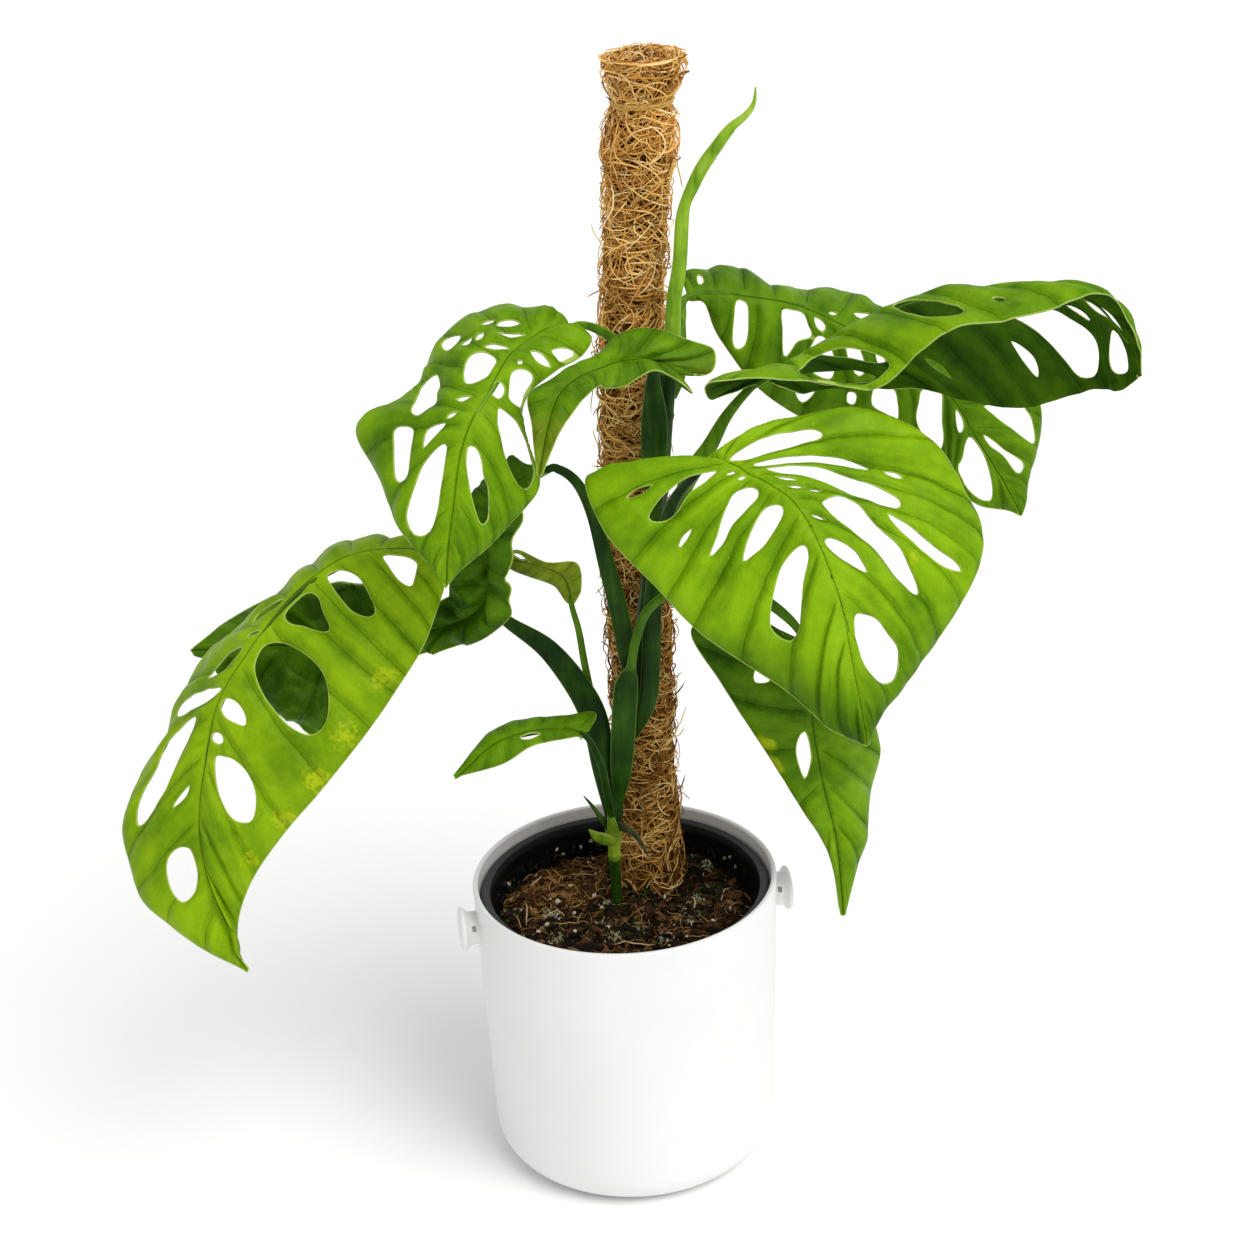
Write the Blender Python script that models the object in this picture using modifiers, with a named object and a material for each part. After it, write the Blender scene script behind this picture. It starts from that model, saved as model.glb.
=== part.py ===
"""A potted climbing monstera (Monstera epipremnoides) on a coir pole.

Metres, +Z up. The cover pot stands on the XY plane with its axis on +Z, and the plant faces -Y.
Leaf, stem and pole positions are given in millimetres and scaled by MM.
"""

import math

import bmesh
import bpy
import numpy as np
from mathutils import Matrix, Vector, noise

MM = 0.001
GAP = 0.3 * MM

# Cover pot
POT_RIM_RADIUS = 85 * MM
POT_HEIGHT = 171 * MM
POT_FOOT_RADIUS = 80 * MM
POT_FILLET = 21 * MM
POT_WALL = 3 * MM
POT_SEGMENTS = 36

# Handle pegs moulded on the cover pot
PEG_DROP = 22 * MM
PEG_TURN = math.radians(9)
PEG_SHAFT_RADIUS = 9.5 * MM
PEG_SHAFT_LENGTH = 6 * MM
PEG_FLANGE_RADIUS = 12.5 * MM
PEG_FLANGE_DEPTH = 4.4 * MM
PEG_FLARE = 2 * MM
PEG_SEGMENTS = 20
SLOT_WIDTH = 3.2 * MM
SLOT_LENGTH = 3.6 * MM
SLOT_DEPTH = 3 * MM
SLOT_TILT = math.radians(28)

# Nursery pot inside the cover pot
INNER_RIM_RADIUS = 80.5 * MM
INNER_RIM_WIDTH = 5 * MM
INNER_RIM_HEIGHT = 8 * MM
INNER_FOOT_RADIUS = 58 * MM
INNER_TOP = 165 * MM
INNER_WALL = 1.6 * MM
INNER_SEGMENTS = 32
DRAIN_RADIUS = 5 * MM
DRAIN_RING_RADIUS = 38 * MM
DRAIN_COUNT = 6
DRAIN_SEGMENTS = 8

# Soil
SOIL_LEVEL = 143 * MM
SOIL_RELIEF = 2.2 * MM
SOIL_RINGS = 5
SOIL_MOUND = 2.5 * MM
SOIL_GRAIN = 70

# Coir pole, its centre line from the foot to the top in millimetres
POLE_LINE = [(15, 31, 20), (15, 31, 145), (15, 31, 220), (15, 31, 300), (15, 31, 383),
             (17, 31, 440), (20, 31, 506), (25, 31, 565), (30, 31, 628)]
COIR_RADIUS = 17.6 * MM
COIR_FLARE = 2.2 * MM
COIR_RELIEF = 1.1 * MM
COIR_SEGMENTS = 16
COIR_RINGS = 24
COIR_GRAIN = 90
COIR_FOOT = 60 * MM
CORE_RADIUS = 10.5 * MM
CORE_RECESS = 5 * MM
CORE_SIDES = 16
TIE_HEIGHT = 599 * MM
TIE_RADIUS = 0.9 * MM
TIE_WIDTH = 1.6 * MM
TIE_SINK = 0.9 * MM
TIE_SEGMENTS = 24

# Stem centre line, and its radius at the foot, in the middle and at the top, in millimetres
STEM_LINE = [(-5, 11, 105), (-5, 10, 145), (-5, 6, 177), (-4, 4, 204), (1, 4, 241), (9, 3, 278),
             (16, 3, 313), (23, 3, 360), (29, 4, 410), (34, 6, 454), (38, 9, 480)]
STEM_RADII = [3.6, 3.6, 3.6, 4.2, 4.6, 5, 5, 5, 4.8, 4.6, 4.4]
STEM_SIDES = 12
BRACT_SIDES = 6

# Dry bracts and a bud at the lowest node: centre line and radii in millimetres
BRACTS = [
    ([(-5, 2, 194), (-10, -3, 206), (-16, -6, 221), (-19, -8, 226)], [1.6, 1.5, 0.9, 0.4]),
    ([(-5, 1, 196), (-9, -6, 200), (-15, -11, 208)], [2.4, 2.8, 1.2]),
    ([(-3, 1, 199), (4, -6, 203), (9, -11, 203), (13, -15, 199)], [2, 2.2, 1.5, 0.5]),
]

# Rolled new leaf at the top of the stem
SPEAR_LINE = [(38, 9, 480), (39.5, 8.5, 501), (43, 8, 520), (45, 7.5, 542), (47, 6, 552), (51, 5, 561),
              (56, 3, 571), (63, 1, 581), (70, 0, 590), (78, -2, 597), (82, -3, 603), (83, -4, 611)]
SPEAR_RADII = [4.4, 4, 3.8, 3.5, 2.9, 3.2, 3.3, 3.1, 2.6, 1.8, 1.2, 0.4]
SPEAR_SIDES = 10

# Leaves
BLADE_THICKNESS = 0.8 * MM
VEIN_RADIUS = 1.7
WAVE_PITCH = 2.3
VEIN_REACH = 0.6
FACE_SIZE = 26.0
SMALL_FACE_SIZE = 14.0
WINDOW_STEP = 7.0
SMALL_WINDOW_STEP = 4.0
PETIOLE_SIDES = 6

# Each leaf has its crown and wave in millimetres, veins, windows and petiole.
# veins: one row for each pair of side veins from the base to the tip, with the points where
# they meet the left margin, the midrib and the right margin, in millimetres.
# windows: the holes between the veins, each a closed smooth curve through points given as
# (vein number, share of the way from the midrib), where the share is negative on the left half.
# petiole: its centre line from the foot on the stem, and sizes (half width, half thickness).
LEAVES = {
    "leaf_right_front": {
        "crown": 6,
        "wave": 3,
        "veins": [
            ((50, -50, 436), (54, -52, 435), (54, -54, 433)),
            ((84, -38, 450), (59, -54, 436), (26, -50, 427)),
            ((121, -28, 453), (63, -56, 436), (-8, -52, 432)),
            ((160, -30, 437), (67, -59, 435), (-1, -64, 406)),
            ((180, -38, 417), (72, -62, 432), (21, -76, 382)),
            ((189, -50, 397), (81, -68, 429), (39, -88, 364)),
            ((185, -66, 376), (93, -78, 422), (59, -98, 351)),
            ((168, -86, 353), (103, -92, 407), (78, -108, 339)),
            ((150, -100, 338), (112, -108, 382), (99, -118, 325)),
            ((135, -116, 327), (116, -120, 358), (111, -127, 318)),
            ((124, -134, 316), (123, -135, 315), (121, -136, 316)),
        ],
        "windows": [
            ((4.73, 0.07), (4.96, 0.1), (4.9, 0.22), (4.82, 0.33), (4.86, 0.46), (4.73, 0.58),
             (4.6, 0.44), (4.35, 0.28), (4.18, 0.17), (4.38, 0.1)),
            ((5.76, 0.07), (5.89, 0.12), (5.84, 0.3), (5.7, 0.4), (5.53, 0.47), (5.4, 0.34),
             (5.33, 0.17), (5.5, 0.1)),
            ((6.75, 0.11), (6.95, 0.13), (7.08, 0.28), (7.22, 0.42), (7.29, 0.52), (7.2, 0.64),
             (6.94, 0.69), (6.68, 0.67), (6.55, 0.53), (6.46, 0.35), (6.56, 0.2)),
            ((2.85, 0.14), (3.08, 0.24), (3.18, 0.38), (3.4, 0.52), (3.42, 0.62), (3.23, 0.7),
             (3.05, 0.6), (2.88, 0.46), (2.75, 0.3)),
            ((1.55, -0.05), (1.62, -0.18), (1.85, -0.3), (2.17, -0.42), (2.42, -0.55), (2.72, -0.52),
             (2.83, -0.38), (2.85, -0.22), (2.65, -0.08), (2.1, -0.035)),
            ((3.17, -0.07), (3.2, -0.18), (3.35, -0.33), (3.6, -0.46), (3.98, -0.53), (4.18, -0.52),
             (3.95, -0.4), (3.66, -0.3), (3.52, -0.17), (3.4, -0.09)),
            ((3.72, -0.1), (3.82, -0.2), (4.1, -0.3), (4.48, -0.39), (4.85, -0.49), (5.15, -0.57),
             (5.44, -0.56), (5.5, -0.46), (5.3, -0.34), (4.95, -0.26), (4.6, -0.18), (4.1, -0.11)),
            ((4.6, -0.07), (4.66, -0.11), (4.85, -0.14), (4.84, -0.09)),
            ((4.2, -0.6), (4.2, -0.66), (4.38, -0.67), (4.4, -0.62)),
            ((5.85, -0.15), (5.6, -0.22), (5.46, -0.29), (5.64, -0.34), (5.94, -0.38), (6.17, -0.45),
             (6.35, -0.55), (6.6, -0.65), (6.82, -0.72), (6.9, -0.66), (6.78, -0.52), (6.55, -0.37),
             (6.35, -0.26), (6.15, -0.17)),
            ((5.75, -0.48), (5.8, -0.56), (5.94, -0.63), (6.07, -0.73), (6.13, -0.86), (6.2, -0.91),
             (6.27, -0.8), (6.2, -0.68), (6.07, -0.58), (5.93, -0.51)),
            ((6.92, -0.06), (6.77, -0.11), (6.75, -0.19), (6.85, -0.26), (7.08, -0.33), (7.15, -0.25),
             (7.14, -0.14), (7.05, -0.08)),
            ((8.15, -0.14), (7.96, -0.25), (7.84, -0.4), (7.95, -0.55), (8.05, -0.7), (8.4, -0.78),
             (8.68, -0.79), (8.9, -0.65), (9, -0.4), (8.94, -0.22), (8.62, -0.14)),
        ],
        "petiole": [(8, 1, 257), (17, -5, 280), (20, -6, 305), (22, -5, 335), (26, -9, 366),
                    (34, -24, 402), (46, -42, 425), (54, -52, 435)],
        "sizes": [(3, 1.8), (5, 1.8), (5.2, 1.8), (5, 2), (4.2, 2), (3.2, 2), (2.4, 2), (2, 1.8)],
    },
    "leaf_right_low": {
        "crown": 4,
        "wave": 2.5,
        "veins": [
            ((104, -8, 316), (101, -10, 317), (97, -12, 316)),
            ((125, 2, 299), (102, -12, 311), (67, -4, 332)),
            ((137, 6, 270), (103, -16, 301), (42, -8, 323)),
            ((141, 2, 244), (104, -22, 282), (57, -16, 295)),
            ((140, -6, 223), (106, -27, 261), (75, -24, 264)),
            ((135, -15, 203), (110, -30, 235), (95, -28, 228)),
            ((128, -24, 184), (116, -31, 204), (112, -30, 196)),
            ((121, -30, 156), (120, -30, 155), (118, -30, 156)),
        ],
        "windows": [
            ((3.7, 0.14), (4.15, 0.38), (4.65, 0.42), (4.3, 0.14)),
            ((2.35, 0.34), (2.45, 0.48), (2.75, 0.56), (2.65, 0.4)),
        ],
        "petiole": [(-1, 0, 219), (2, -5, 243), (6, -8, 272), (9, -12, 300), (12, -15, 321),
                    (19, -16, 339), (33, -14, 349), (52, -5, 350), (72, -4, 343), (90, -7, 331),
                    (101, -10, 317)],
        "sizes": [(3.2, 2.4), (5, 2), (5, 2), (2.8, 2), (2.5, 2), (2.5, 2), (2.6, 2.2), (3, 2.4),
                  (3.2, 2.4), (2.8, 2.2), (2, 1.8)],
    },
    "leaf_right_high": {
        "crown": 5,
        "wave": 3,
        "veins": [
            ((87, 2, 461), (84, 0, 459), (81, -3, 458)),
            ((90, 10, 453), (86, 1, 460), (56, -18, 456)),
            ((104, 20, 444), (87, 2, 461), (56, -28, 470)),
            ((123, 26, 442), (91, 4, 463), (100, -30, 467)),
            ((145, 32, 441), (98, 8, 467), (135, -30, 463)),
            ((168, 38, 437), (115, 12, 474), (157, -30, 478)),
            ((193, 40, 427), (141, 17, 486), (183, -30, 491)),
            ((222, 38, 425), (169, 19, 495), (211, -26, 497)),
            ((250, 32, 430), (200, 18, 495), (239, -20, 499)),
            ((264, 22, 437), (233, 14, 495), (259, -14, 497)),
            ((272, 10, 442), (257, 5, 490), (270, -10, 484)),
            ((275, 0, 449), (270, -4, 474), (274, -8, 467)),
            ((275, -7, 455), (276, -8, 454), (277, -9, 455)),
        ],
        "windows": [
            ((3.3, 0.55), (3.95, 0.28), (4.45, 0.28), (4.72, 0.45), (4.78, 0.7), (4.72, 0.88),
             (4.4, 0.92), (4.05, 0.92), (3.6, 0.92), (3.2, 0.88)),
            ((6.35, 0.09), (6.5, 0.2), (6.54, 0.45), (6.54, 0.66), (6.38, 0.78), (6.12, 0.8),
             (5.95, 0.68), (6, 0.42), (6.15, 0.2)),
            ((4.3, -0.07), (4.62, -0.06), (4.93, -0.13), (5.2, -0.28), (5.42, -0.45), (5.36, -0.55),
             (5.05, -0.55), (4.78, -0.41), (4.54, -0.22)),
            ((2.9, -0.47), (3.5, -0.42), (3.94, -0.54), (4.35, -0.64), (4.5, -0.78), (4.05, -0.87),
             (3.43, -0.88), (2.95, -0.82)),
            ((6.08, -0.56), (6.2, -0.58), (6.26, -0.66), (6.2, -0.77), (6.08, -0.66)),
            ((7.68, -0.49), (7.78, -0.56), (7.82, -0.64), (7.75, -0.74), (7.62, -0.81), (7.6, -0.72),
             (7.62, -0.6)),
            ((8.05, -0.24), (8.35, -0.22), (8.65, -0.2), (8.88, -0.24), (9.1, -0.34), (9.35, -0.44),
             (9.4, -0.56), (9.28, -0.7), (9.05, -0.83), (8.75, -0.9), (8.4, -0.88), (8.33, -0.7),
             (8.28, -0.5), (8.18, -0.35)),
            ((9.1, -0.16), (9.25, -0.17), (9.45, -0.22), (9.52, -0.3), (9.35, -0.27), (9.18, -0.21)),
            ((9.6, -0.05), (9.9, -0.05), (10.25, -0.06), (10.6, -0.07), (10.75, -0.14), (10.4, -0.2),
             (10, -0.18), (9.75, -0.15)),
            ((10.05, -0.34), (10.22, -0.34), (10.38, -0.46), (10.42, -0.66), (10.33, -0.82),
             (9.75, -0.84), (9.6, -0.76), (9.75, -0.58)),
        ],
        "petiole": [(26, 3, 355), (35, -1, 384), (41, -6, 403), (48, -10, 418), (55, -10, 428),
                    (64, -8, 443), (76, -3, 455), (84, 0, 459)],
        "sizes": [(2.6, 2.4), (3.4, 2.2), (4.2, 2.2), (4.6, 2.2), (4.2, 2.2), (3, 2.2), (2.2, 2),
                  (2, 1.8)],
    },
    "leaf_right_back": {
        "crown": 5,
        "wave": 3,
        "veins": [
            ((47, 40, 495), (48, 38, 493), (49, 37, 491)),
            ((46, 60, 500), (52, 40, 494), (57, 38, 488)),
            ((59, 74, 497), (65, 45, 492), (65, 40, 468)),
            ((75, 84, 491), (83, 50, 487), (81, 46, 441)),
            ((91, 91, 480), (102, 56, 481), (104, 52, 420)),
            ((113, 98, 474), (121, 62, 471), (133, 56, 402)),
            ((136, 102, 469), (140, 67, 458), (158, 58, 393)),
            ((158, 105, 463), (159, 70, 445), (177, 58, 387)),
            ((188, 105, 452), (176, 71, 433), (185, 57, 383)),
            ((215, 100, 435), (187, 70, 423), (188, 56, 380)),
            ((236, 93, 416), (196, 68, 410), (193, 56, 369)),
            ((241, 86, 403), (204, 66, 395), (203, 56, 361)),
            ((239, 77, 383), (212, 63, 382), (213, 56, 358)),
            ((233, 68, 368), (220, 60, 368), (221, 57, 356)),
            ((229, 59, 354), (228, 58, 352), (226, 58, 353)),
        ],
        "windows": [
            ((10.05, -0.27), (10.2, -0.44), (10.53, -0.72), (10.88, -0.78), (11.29, -0.82),
             (11.72, -0.88), (11.72, -0.76), (11.32, -0.54), (10.7, -0.38)),
            ((10.93, -0.1), (11.15, -0.16), (11.64, -0.28), (12.05, -0.48), (12.28, -0.62),
             (12.5, -0.6), (12.58, -0.46), (12.34, -0.34), (11.87, -0.24), (11.4, -0.12)),
            ((9.5, 0.11), (9.77, 0.06), (9.97, 0.08), (10.02, 0.15), (9.83, 0.28), (9.58, 0.33),
             (9.48, 0.24)),
            ((10.35, 0.19), (10.85, 0.08), (11.38, 0.08), (11.64, 0.24), (11.82, 0.55), (11.76, 0.8),
             (11.5, 0.87), (10.8, 0.89), (10.4, 0.86), (10.12, 0.8), (9.75, 0.74), (9.95, 0.58),
             (10.08, 0.36)),
            ((7.55, 0.25), (8.1, 0.15), (8.66, 0.09), (8.6, 0.22), (8.25, 0.5), (8.1, 0.67),
             (7.73, 0.82), (7.2, 0.78), (6.97, 0.7), (6.96, 0.58), (7.26, 0.4)),
            ((5.8, 0.48), (6.1, 0.42), (6.45, 0.4), (6.43, 0.5), (6.25, 0.68), (5.98, 0.66),
             (5.65, 0.62)),
            ((5.1, 0.58), (5.29, 0.57), (5.2, 0.66), (5.05, 0.67)),
            ((3.92, 0.72), (4.13, 0.68), (4.4, 0.64), (4.36, 0.73), (4.17, 0.85), (4.03, 0.82)),
            ((3.75, 0.08), (4.08, 0.05), (4.36, 0.05), (4.42, 0.13), (4.45, 0.22), (4.05, 0.32),
             (3.72, 0.5), (3.7, 0.26)),
            ((4.62, 0.2), (4.88, 0.2), (4.95, 0.34), (4.8, 0.5), (4.6, 0.54), (4.35, 0.52),
             (4.28, 0.42), (4.42, 0.3)),
            ((5.45, 0.12), (5.75, 0.1), (5.78, 0.22), (5.66, 0.35), (5.42, 0.4), (5.33, 0.28)),
            ((6.3, 0.1), (6.52, 0.08), (6.5, 0.22), (6.25, 0.24)),
            ((2.48, 0.09), (2.76, 0.08), (2.79, 0.24), (2.74, 0.55), (2.6, 0.72), (2.43, 0.81),
             (2.34, 0.7), (2.37, 0.35)),
            ((1.36, -0.46), (1.52, -0.57), (1.55, -0.38), (1.43, -0.22), (1.26, -0.24)),
            ((5.8, -0.28), (5.98, -0.37), (6.3, -0.46), (6.22, -0.33), (5.94, -0.25)),
        ],
        "petiole": [(37, 8, 449), (42, 14, 460), (43, 22, 475), (44, 30, 485), (48, 38, 493)],
        "sizes": [(2.4, 2.2), (2.8, 2.2), (2.8, 2.2), (2.4, 2), (2, 1.8)],
    },
    "leaf_left_high": {
        "crown": 5,
        "wave": 2.5,
        "veins": [
            ((-9, -20, 497), (-13, -18, 498), (-15, -14, 499)),
            ((-3, -32, 495), (-24, -26, 501), (-24, -4, 503)),
            ((-11, -42, 489), (-34, -37, 499), (-46, 6, 504)),
            ((-22, -51, 485), (-43, -49, 496), (-67, 4, 496)),
            ((-34, -58, 478), (-49, -61, 491), (-84, -10, 488)),
            ((-37, -66, 457), (-55, -72, 483), (-96, -30, 470)),
            ((-33, -75, 436), (-63, -84, 474), (-120, -46, 460)),
            ((-41, -86, 426), (-69, -92, 459), (-113, -66, 443)),
            ((-54, -95, 418), (-73, -99, 438), (-102, -83, 424)),
            ((-67, -102, 409), (-77, -104, 417), (-87, -98, 408)),
            ((-78, -106, 399), (-79, -106, 397), (-80, -106, 399)),
        ],
        "windows": [
            ((6.62, 0.14), (6.95, 0.12), (7.48, 0.15), (8.04, 0.22), (8.4, 0.36), (8.46, 0.6),
             (8.33, 0.78), (8.06, 0.77), (7.75, 0.64), (7.42, 0.49), (7.06, 0.37), (6.8, 0.26)),
            ((6.25, 0.43), (6.56, 0.45), (6.92, 0.51), (7.21, 0.58), (7.28, 0.7), (7.15, 0.75),
             (6.9, 0.71), (6.56, 0.64), (6.2, 0.61), (6.15, 0.5)),
            ((6.08, 0.17), (6.12, 0.24), (6.25, 0.3), (6.5, 0.33), (6.66, 0.34), (6.52, 0.27),
             (6.33, 0.2)),
            ((4.62, 0.66), (4.62, 0.8), (4.8, 0.87), (5.1, 0.76), (5.4, 0.62), (5.8, 0.5), (5.9, 0.42),
             (5.75, 0.38), (5.5, 0.37), (5.2, 0.46)),
            ((3.66, 0.07), (3.55, 0.15), (3.64, 0.26), (3.9, 0.35), (4.2, 0.36), (4.55, 0.3),
             (4.74, 0.24), (4.64, 0.14), (4.35, 0.07), (3.95, 0.06)),
            ((3.52, 0.68), (3.62, 0.82), (3.79, 0.88), (3.93, 0.83), (4.02, 0.7), (3.9, 0.64),
             (3.7, 0.63)),
            ((2.05, 0.26), (2.23, 0.39), (2.52, 0.45), (2.68, 0.41), (2.44, 0.31)),
            ((2.9, 0.05), (3.08, 0.17), (3.34, 0.27), (3.46, 0.28), (3.28, 0.16)),
            ((6.6, -0.07), (6.5, -0.15), (6.7, -0.25), (6.94, -0.33), (7.1, -0.43), (7.44, -0.54),
             (7.77, -0.62), (7.96, -0.58), (7.88, -0.45), (7.65, -0.31), (7.38, -0.2), (7.02, -0.11)),
            ((5.1, -0.23), (5.03, -0.42), (5, -0.68), (5.2, -0.86), (5.7, -0.86), (6.25, -0.87),
             (6.45, -0.78), (6.35, -0.6), (6.06, -0.42), (5.65, -0.3), (5.35, -0.24)),
            ((4.7, -0.04), (4.46, -0.04), (4.34, -0.12), (4.46, -0.23), (4.7, -0.23), (4.86, -0.17),
             (4.86, -0.09)),
            ((3.9, -0.28), (3.68, -0.43), (3.6, -0.7), (3.75, -0.86), (4.1, -0.88), (4.4, -0.86),
             (4.62, -0.6), (4.64, -0.38), (4.3, -0.33)),
            ((2.76, -0.32), (2.65, -0.46), (2.82, -0.66), (3.02, -0.86), (3.12, -0.74), (3.07, -0.54)),
            ((2.3, -0.58), (1.96, -0.66), (1.76, -0.82), (1.85, -0.9), (2.2, -0.9), (2.55, -0.88),
             (2.48, -0.76)),
        ],
        "petiole": [(34, 4, 464), (29, -1, 469), (22, -2, 477), (11, -3, 484), (0, -8, 493),
                    (-8, -15, 498), (-13, -18, 498)],
        "sizes": [(2.4, 2), (2.8, 2), (2.8, 2), (2.8, 2), (2.4, 1.8), (2, 1.7), (1.8, 1.6)],
    },
    "leaf_left_low": {
        "crown": 5,
        "wave": 3,
        "veins": [
            ((-91, -13, 375), (-93, -11, 376), (-95, -8, 377)),
            ((-85, -32, 368), (-105, -20, 383), (-105, 2, 378)),
            ((-89, -48, 359), (-120, -28, 387), (-122, 12, 373)),
            ((-98, -60, 342), (-137, -35, 386), (-146, 16, 362)),
            ((-112, -70, 325), (-156, -42, 376), (-171, 14, 346)),
            ((-130, -78, 303), (-171, -49, 363), (-200, 6, 326)),
            ((-152, -86, 279), (-188, -57, 344), (-224, -8, 306)),
            ((-172, -91, 259), (-203, -65, 323), (-244, -26, 279)),
            ((-189, -94, 237), (-211, -74, 296), (-260, -50, 255)),
            ((-198, -96, 219), (-217, -84, 264), (-258, -70, 233)),
            ((-202, -97, 205), (-215, -91, 235), (-252, -86, 218)),
            ((-202, -98, 193), (-207, -96, 208), (-225, -96, 199)),
            ((-198, -99, 182), (-199, -99, 180), (-201, -99, 182)),
        ],
        "windows": [
            ((2, -0.14), (2.15, -0.27), (2.24, -0.46), (2.12, -0.59), (1.9, -0.58), (1.35, -0.42),
             (1.45, -0.22)),
            ((3.5, -0.07), (3.18, -0.1), (3, -0.21), (3.05, -0.35), (3.2, -0.51), (3.4, -0.51),
             (3.58, -0.4), (3.6, -0.28), (3.57, -0.15)),
            ((4.85, -0.06), (4.4, -0.06), (4.07, -0.08), (3.97, -0.15), (4.08, -0.24), (4.2, -0.36),
             (4.4, -0.33), (4.65, -0.21), (4.85, -0.13)),
            ((5.68, -0.08), (5.45, -0.1), (5.22, -0.17), (5.02, -0.29), (4.9, -0.42), (4.9, -0.54),
             (5.08, -0.66), (5.35, -0.74), (5.65, -0.71), (5.88, -0.57), (6, -0.4), (6.04, -0.24),
             (5.95, -0.12)),
            ((7, -0.05), (6.78, -0.07), (6.62, -0.15), (6.57, -0.25), (6.68, -0.3), (6.88, -0.21),
             (7.02, -0.11)),
            ((7.6, -0.04), (7.45, -0.07), (7.3, -0.14), (7.3, -0.19), (7.44, -0.16), (7.58, -0.08)),
            ((7.72, -0.15), (7.45, -0.25), (7.24, -0.37), (7.12, -0.52), (7.2, -0.66), (7.48, -0.73),
             (7.72, -0.67), (7.95, -0.54), (8.05, -0.38), (8, -0.22)),
            ((4.6, 0.06), (4.78, 0.18), (5, 0.27), (5.22, 0.21), (5.1, 0.12), (4.85, 0.05)),
            ((5.82, 0.1), (5.87, 0.26), (6.1, 0.34), (6.35, 0.36), (6.33, 0.24), (6.1, 0.12)),
            ((6.72, 0.05), (6.63, 0.28), (6.6, 0.58), (6.66, 0.76), (6.88, 0.58), (6.93, 0.36),
             (6.92, 0.14), (6.84, 0.05)),
            ((7.15, 0.22), (7.22, 0.43), (7.36, 0.58), (7.73, 0.6), (7.98, 0.68), (8.22, 0.74),
             (8.5, 0.76), (8.5, 0.61), (8.28, 0.44), (8.05, 0.35), (7.78, 0.28), (7.45, 0.2)),
            ((8.37, 0.13), (8.43, 0.21), (8.56, 0.3), (8.57, 0.24), (8.5, 0.15)),
            ((9.5, 0.11), (9.9, 0.11), (10.18, 0.22), (10.28, 0.42), (10.15, 0.5), (9.75, 0.48),
             (9.38, 0.41), (9.28, 0.28), (9.35, 0.16)),
        ],
        "petiole": [(-6, 2.5, 207), (-9.5, 0, 238), (-11, 0, 263), (-18, 4, 283), (-35, 10, 307),
                    (-56, 14, 323), (-70, 12, 339), (-80, 5, 357), (-88, -3, 370), (-93, -11, 376)],
        "sizes": [(3, 2.2), (3.8, 2), (5, 2), (5.4, 2), (5.2, 2), (3.4, 2.2), (2.6, 2.2), (2.4, 2),
                  (2.2, 1.8), (2, 1.8)],
    },
    "leaf_left_curled": {
        "crown": 4,
        "wave": 3,
        "veins": [
            ((-29, -4, 414), (-31, -2, 415), (-33, 0, 417)),
            ((-36, -12, 409), (-44, -5, 412), (-52, 6, 419)),
            ((-43, -20, 400), (-56, -9, 402), (-70, 4, 399)),
            ((-49, -24, 375), (-62, -13, 383), (-80, -4, 375)),
            ((-53, -22, 348), (-62, -13, 360), (-84, -10, 357)),
            ((-65, -10, 327), (-69, -8, 341), (-88, -4, 346)),
            ((-93, 4, 312), (-89, 4, 326), (-112, 12, 344)),
            ((-118, 16, 298), (-118, 16, 317), (-140, 24, 345)),
            ((-157, 28, 252), (-152, 24, 309), (-169, 34, 341)),
            ((-195, 32, 275), (-190, 29, 309), (-203, 36, 326)),
            ((-230, 31, 304), (-232, 31, 307), (-230, 31, 309)),
        ],
        "windows": [],
        "petiole": [(9, 1, 288), (7, -6, 313), (4, -8, 337), (-1, -8, 363), (-7, -6, 391),
                    (-14, -4, 408), (-23, -3, 416), (-31, -2, 415)],
        "sizes": [(3, 1.8), (5, 2), (5, 2), (4.6, 2), (3.4, 2), (2.8, 2), (2.4, 2), (2, 1.8)],
    },
    "leaf_pole_front": {
        "crown": 3,
        "wave": 2,
        "veins": [
            ((28, -23, 476), (27, -20, 478), (28, -17, 480)),
            ((36, -26, 472), (26, -20, 479), (54, -20, 469)),
            ((47, -32, 466), (25, -22, 480), (58, -12, 480)),
            ((28, -38, 478), (21, -26, 482), (38, -8, 488)),
            ((13, -46, 476), (11, -33, 484), (16, -14, 494)),
            ((2, -58, 479), (0, -48, 486), (-3, -37, 488)),
            ((-2, -74, 484), (-11, -70, 489), (-19, -66, 489)),
            ((-11, -84, 481), (-20, -79, 483), (-34, -77, 485)),
            ((-20, -90, 468), (-26, -87, 468), (-33, -85, 470)),
            ((-29, -92, 449), (-31, -92, 447), (-32, -92, 449)),
        ],
        "windows": [],
        "petiole": [(25, 1, 379), (26, -5, 415), (27, -9, 443), (27, -14, 464), (27, -20, 478)],
        "sizes": [(3, 2.2), (6.5, 2), (6.8, 2), (4, 1.8), (2, 1.6)],
    },
    "leaf_left_small": {
        "crown": 2.5,
        "wave": 1.5,
        "veins": [
            ((-19, -28, 271), (-18, -26, 273), (-15, -23, 274)),
            ((-23, -32, 275), (-23, -28, 276), (-12, -14, 280)),
            ((-33, -40, 278), (-36, -34, 282), (-32, -18, 281)),
            ((-47, -48, 277), (-53, -41, 283), (-54, -24, 281)),
            ((-62, -52, 271), (-68, -47, 279), (-72, -34, 277)),
            ((-84, -53, 266), (-86, -53, 264), (-87, -52, 266)),
        ],
        "windows": [
            ((2.45, -0.52), (2.7, -0.3), (3.05, -0.42), (2.8, -0.64)),
        ],
        "petiole": [(-4.5, 0, 203), (-5.5, -6, 212), (-7, -12, 229), (-9, -18, 248), (-13, -24, 264),
                    (-18, -26, 273)],
        "sizes": [(1.8, 1.8), (2, 1.8), (2.2, 1.6), (2, 1.5), (1.8, 1.4), (1.6, 1.3)],
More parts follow.
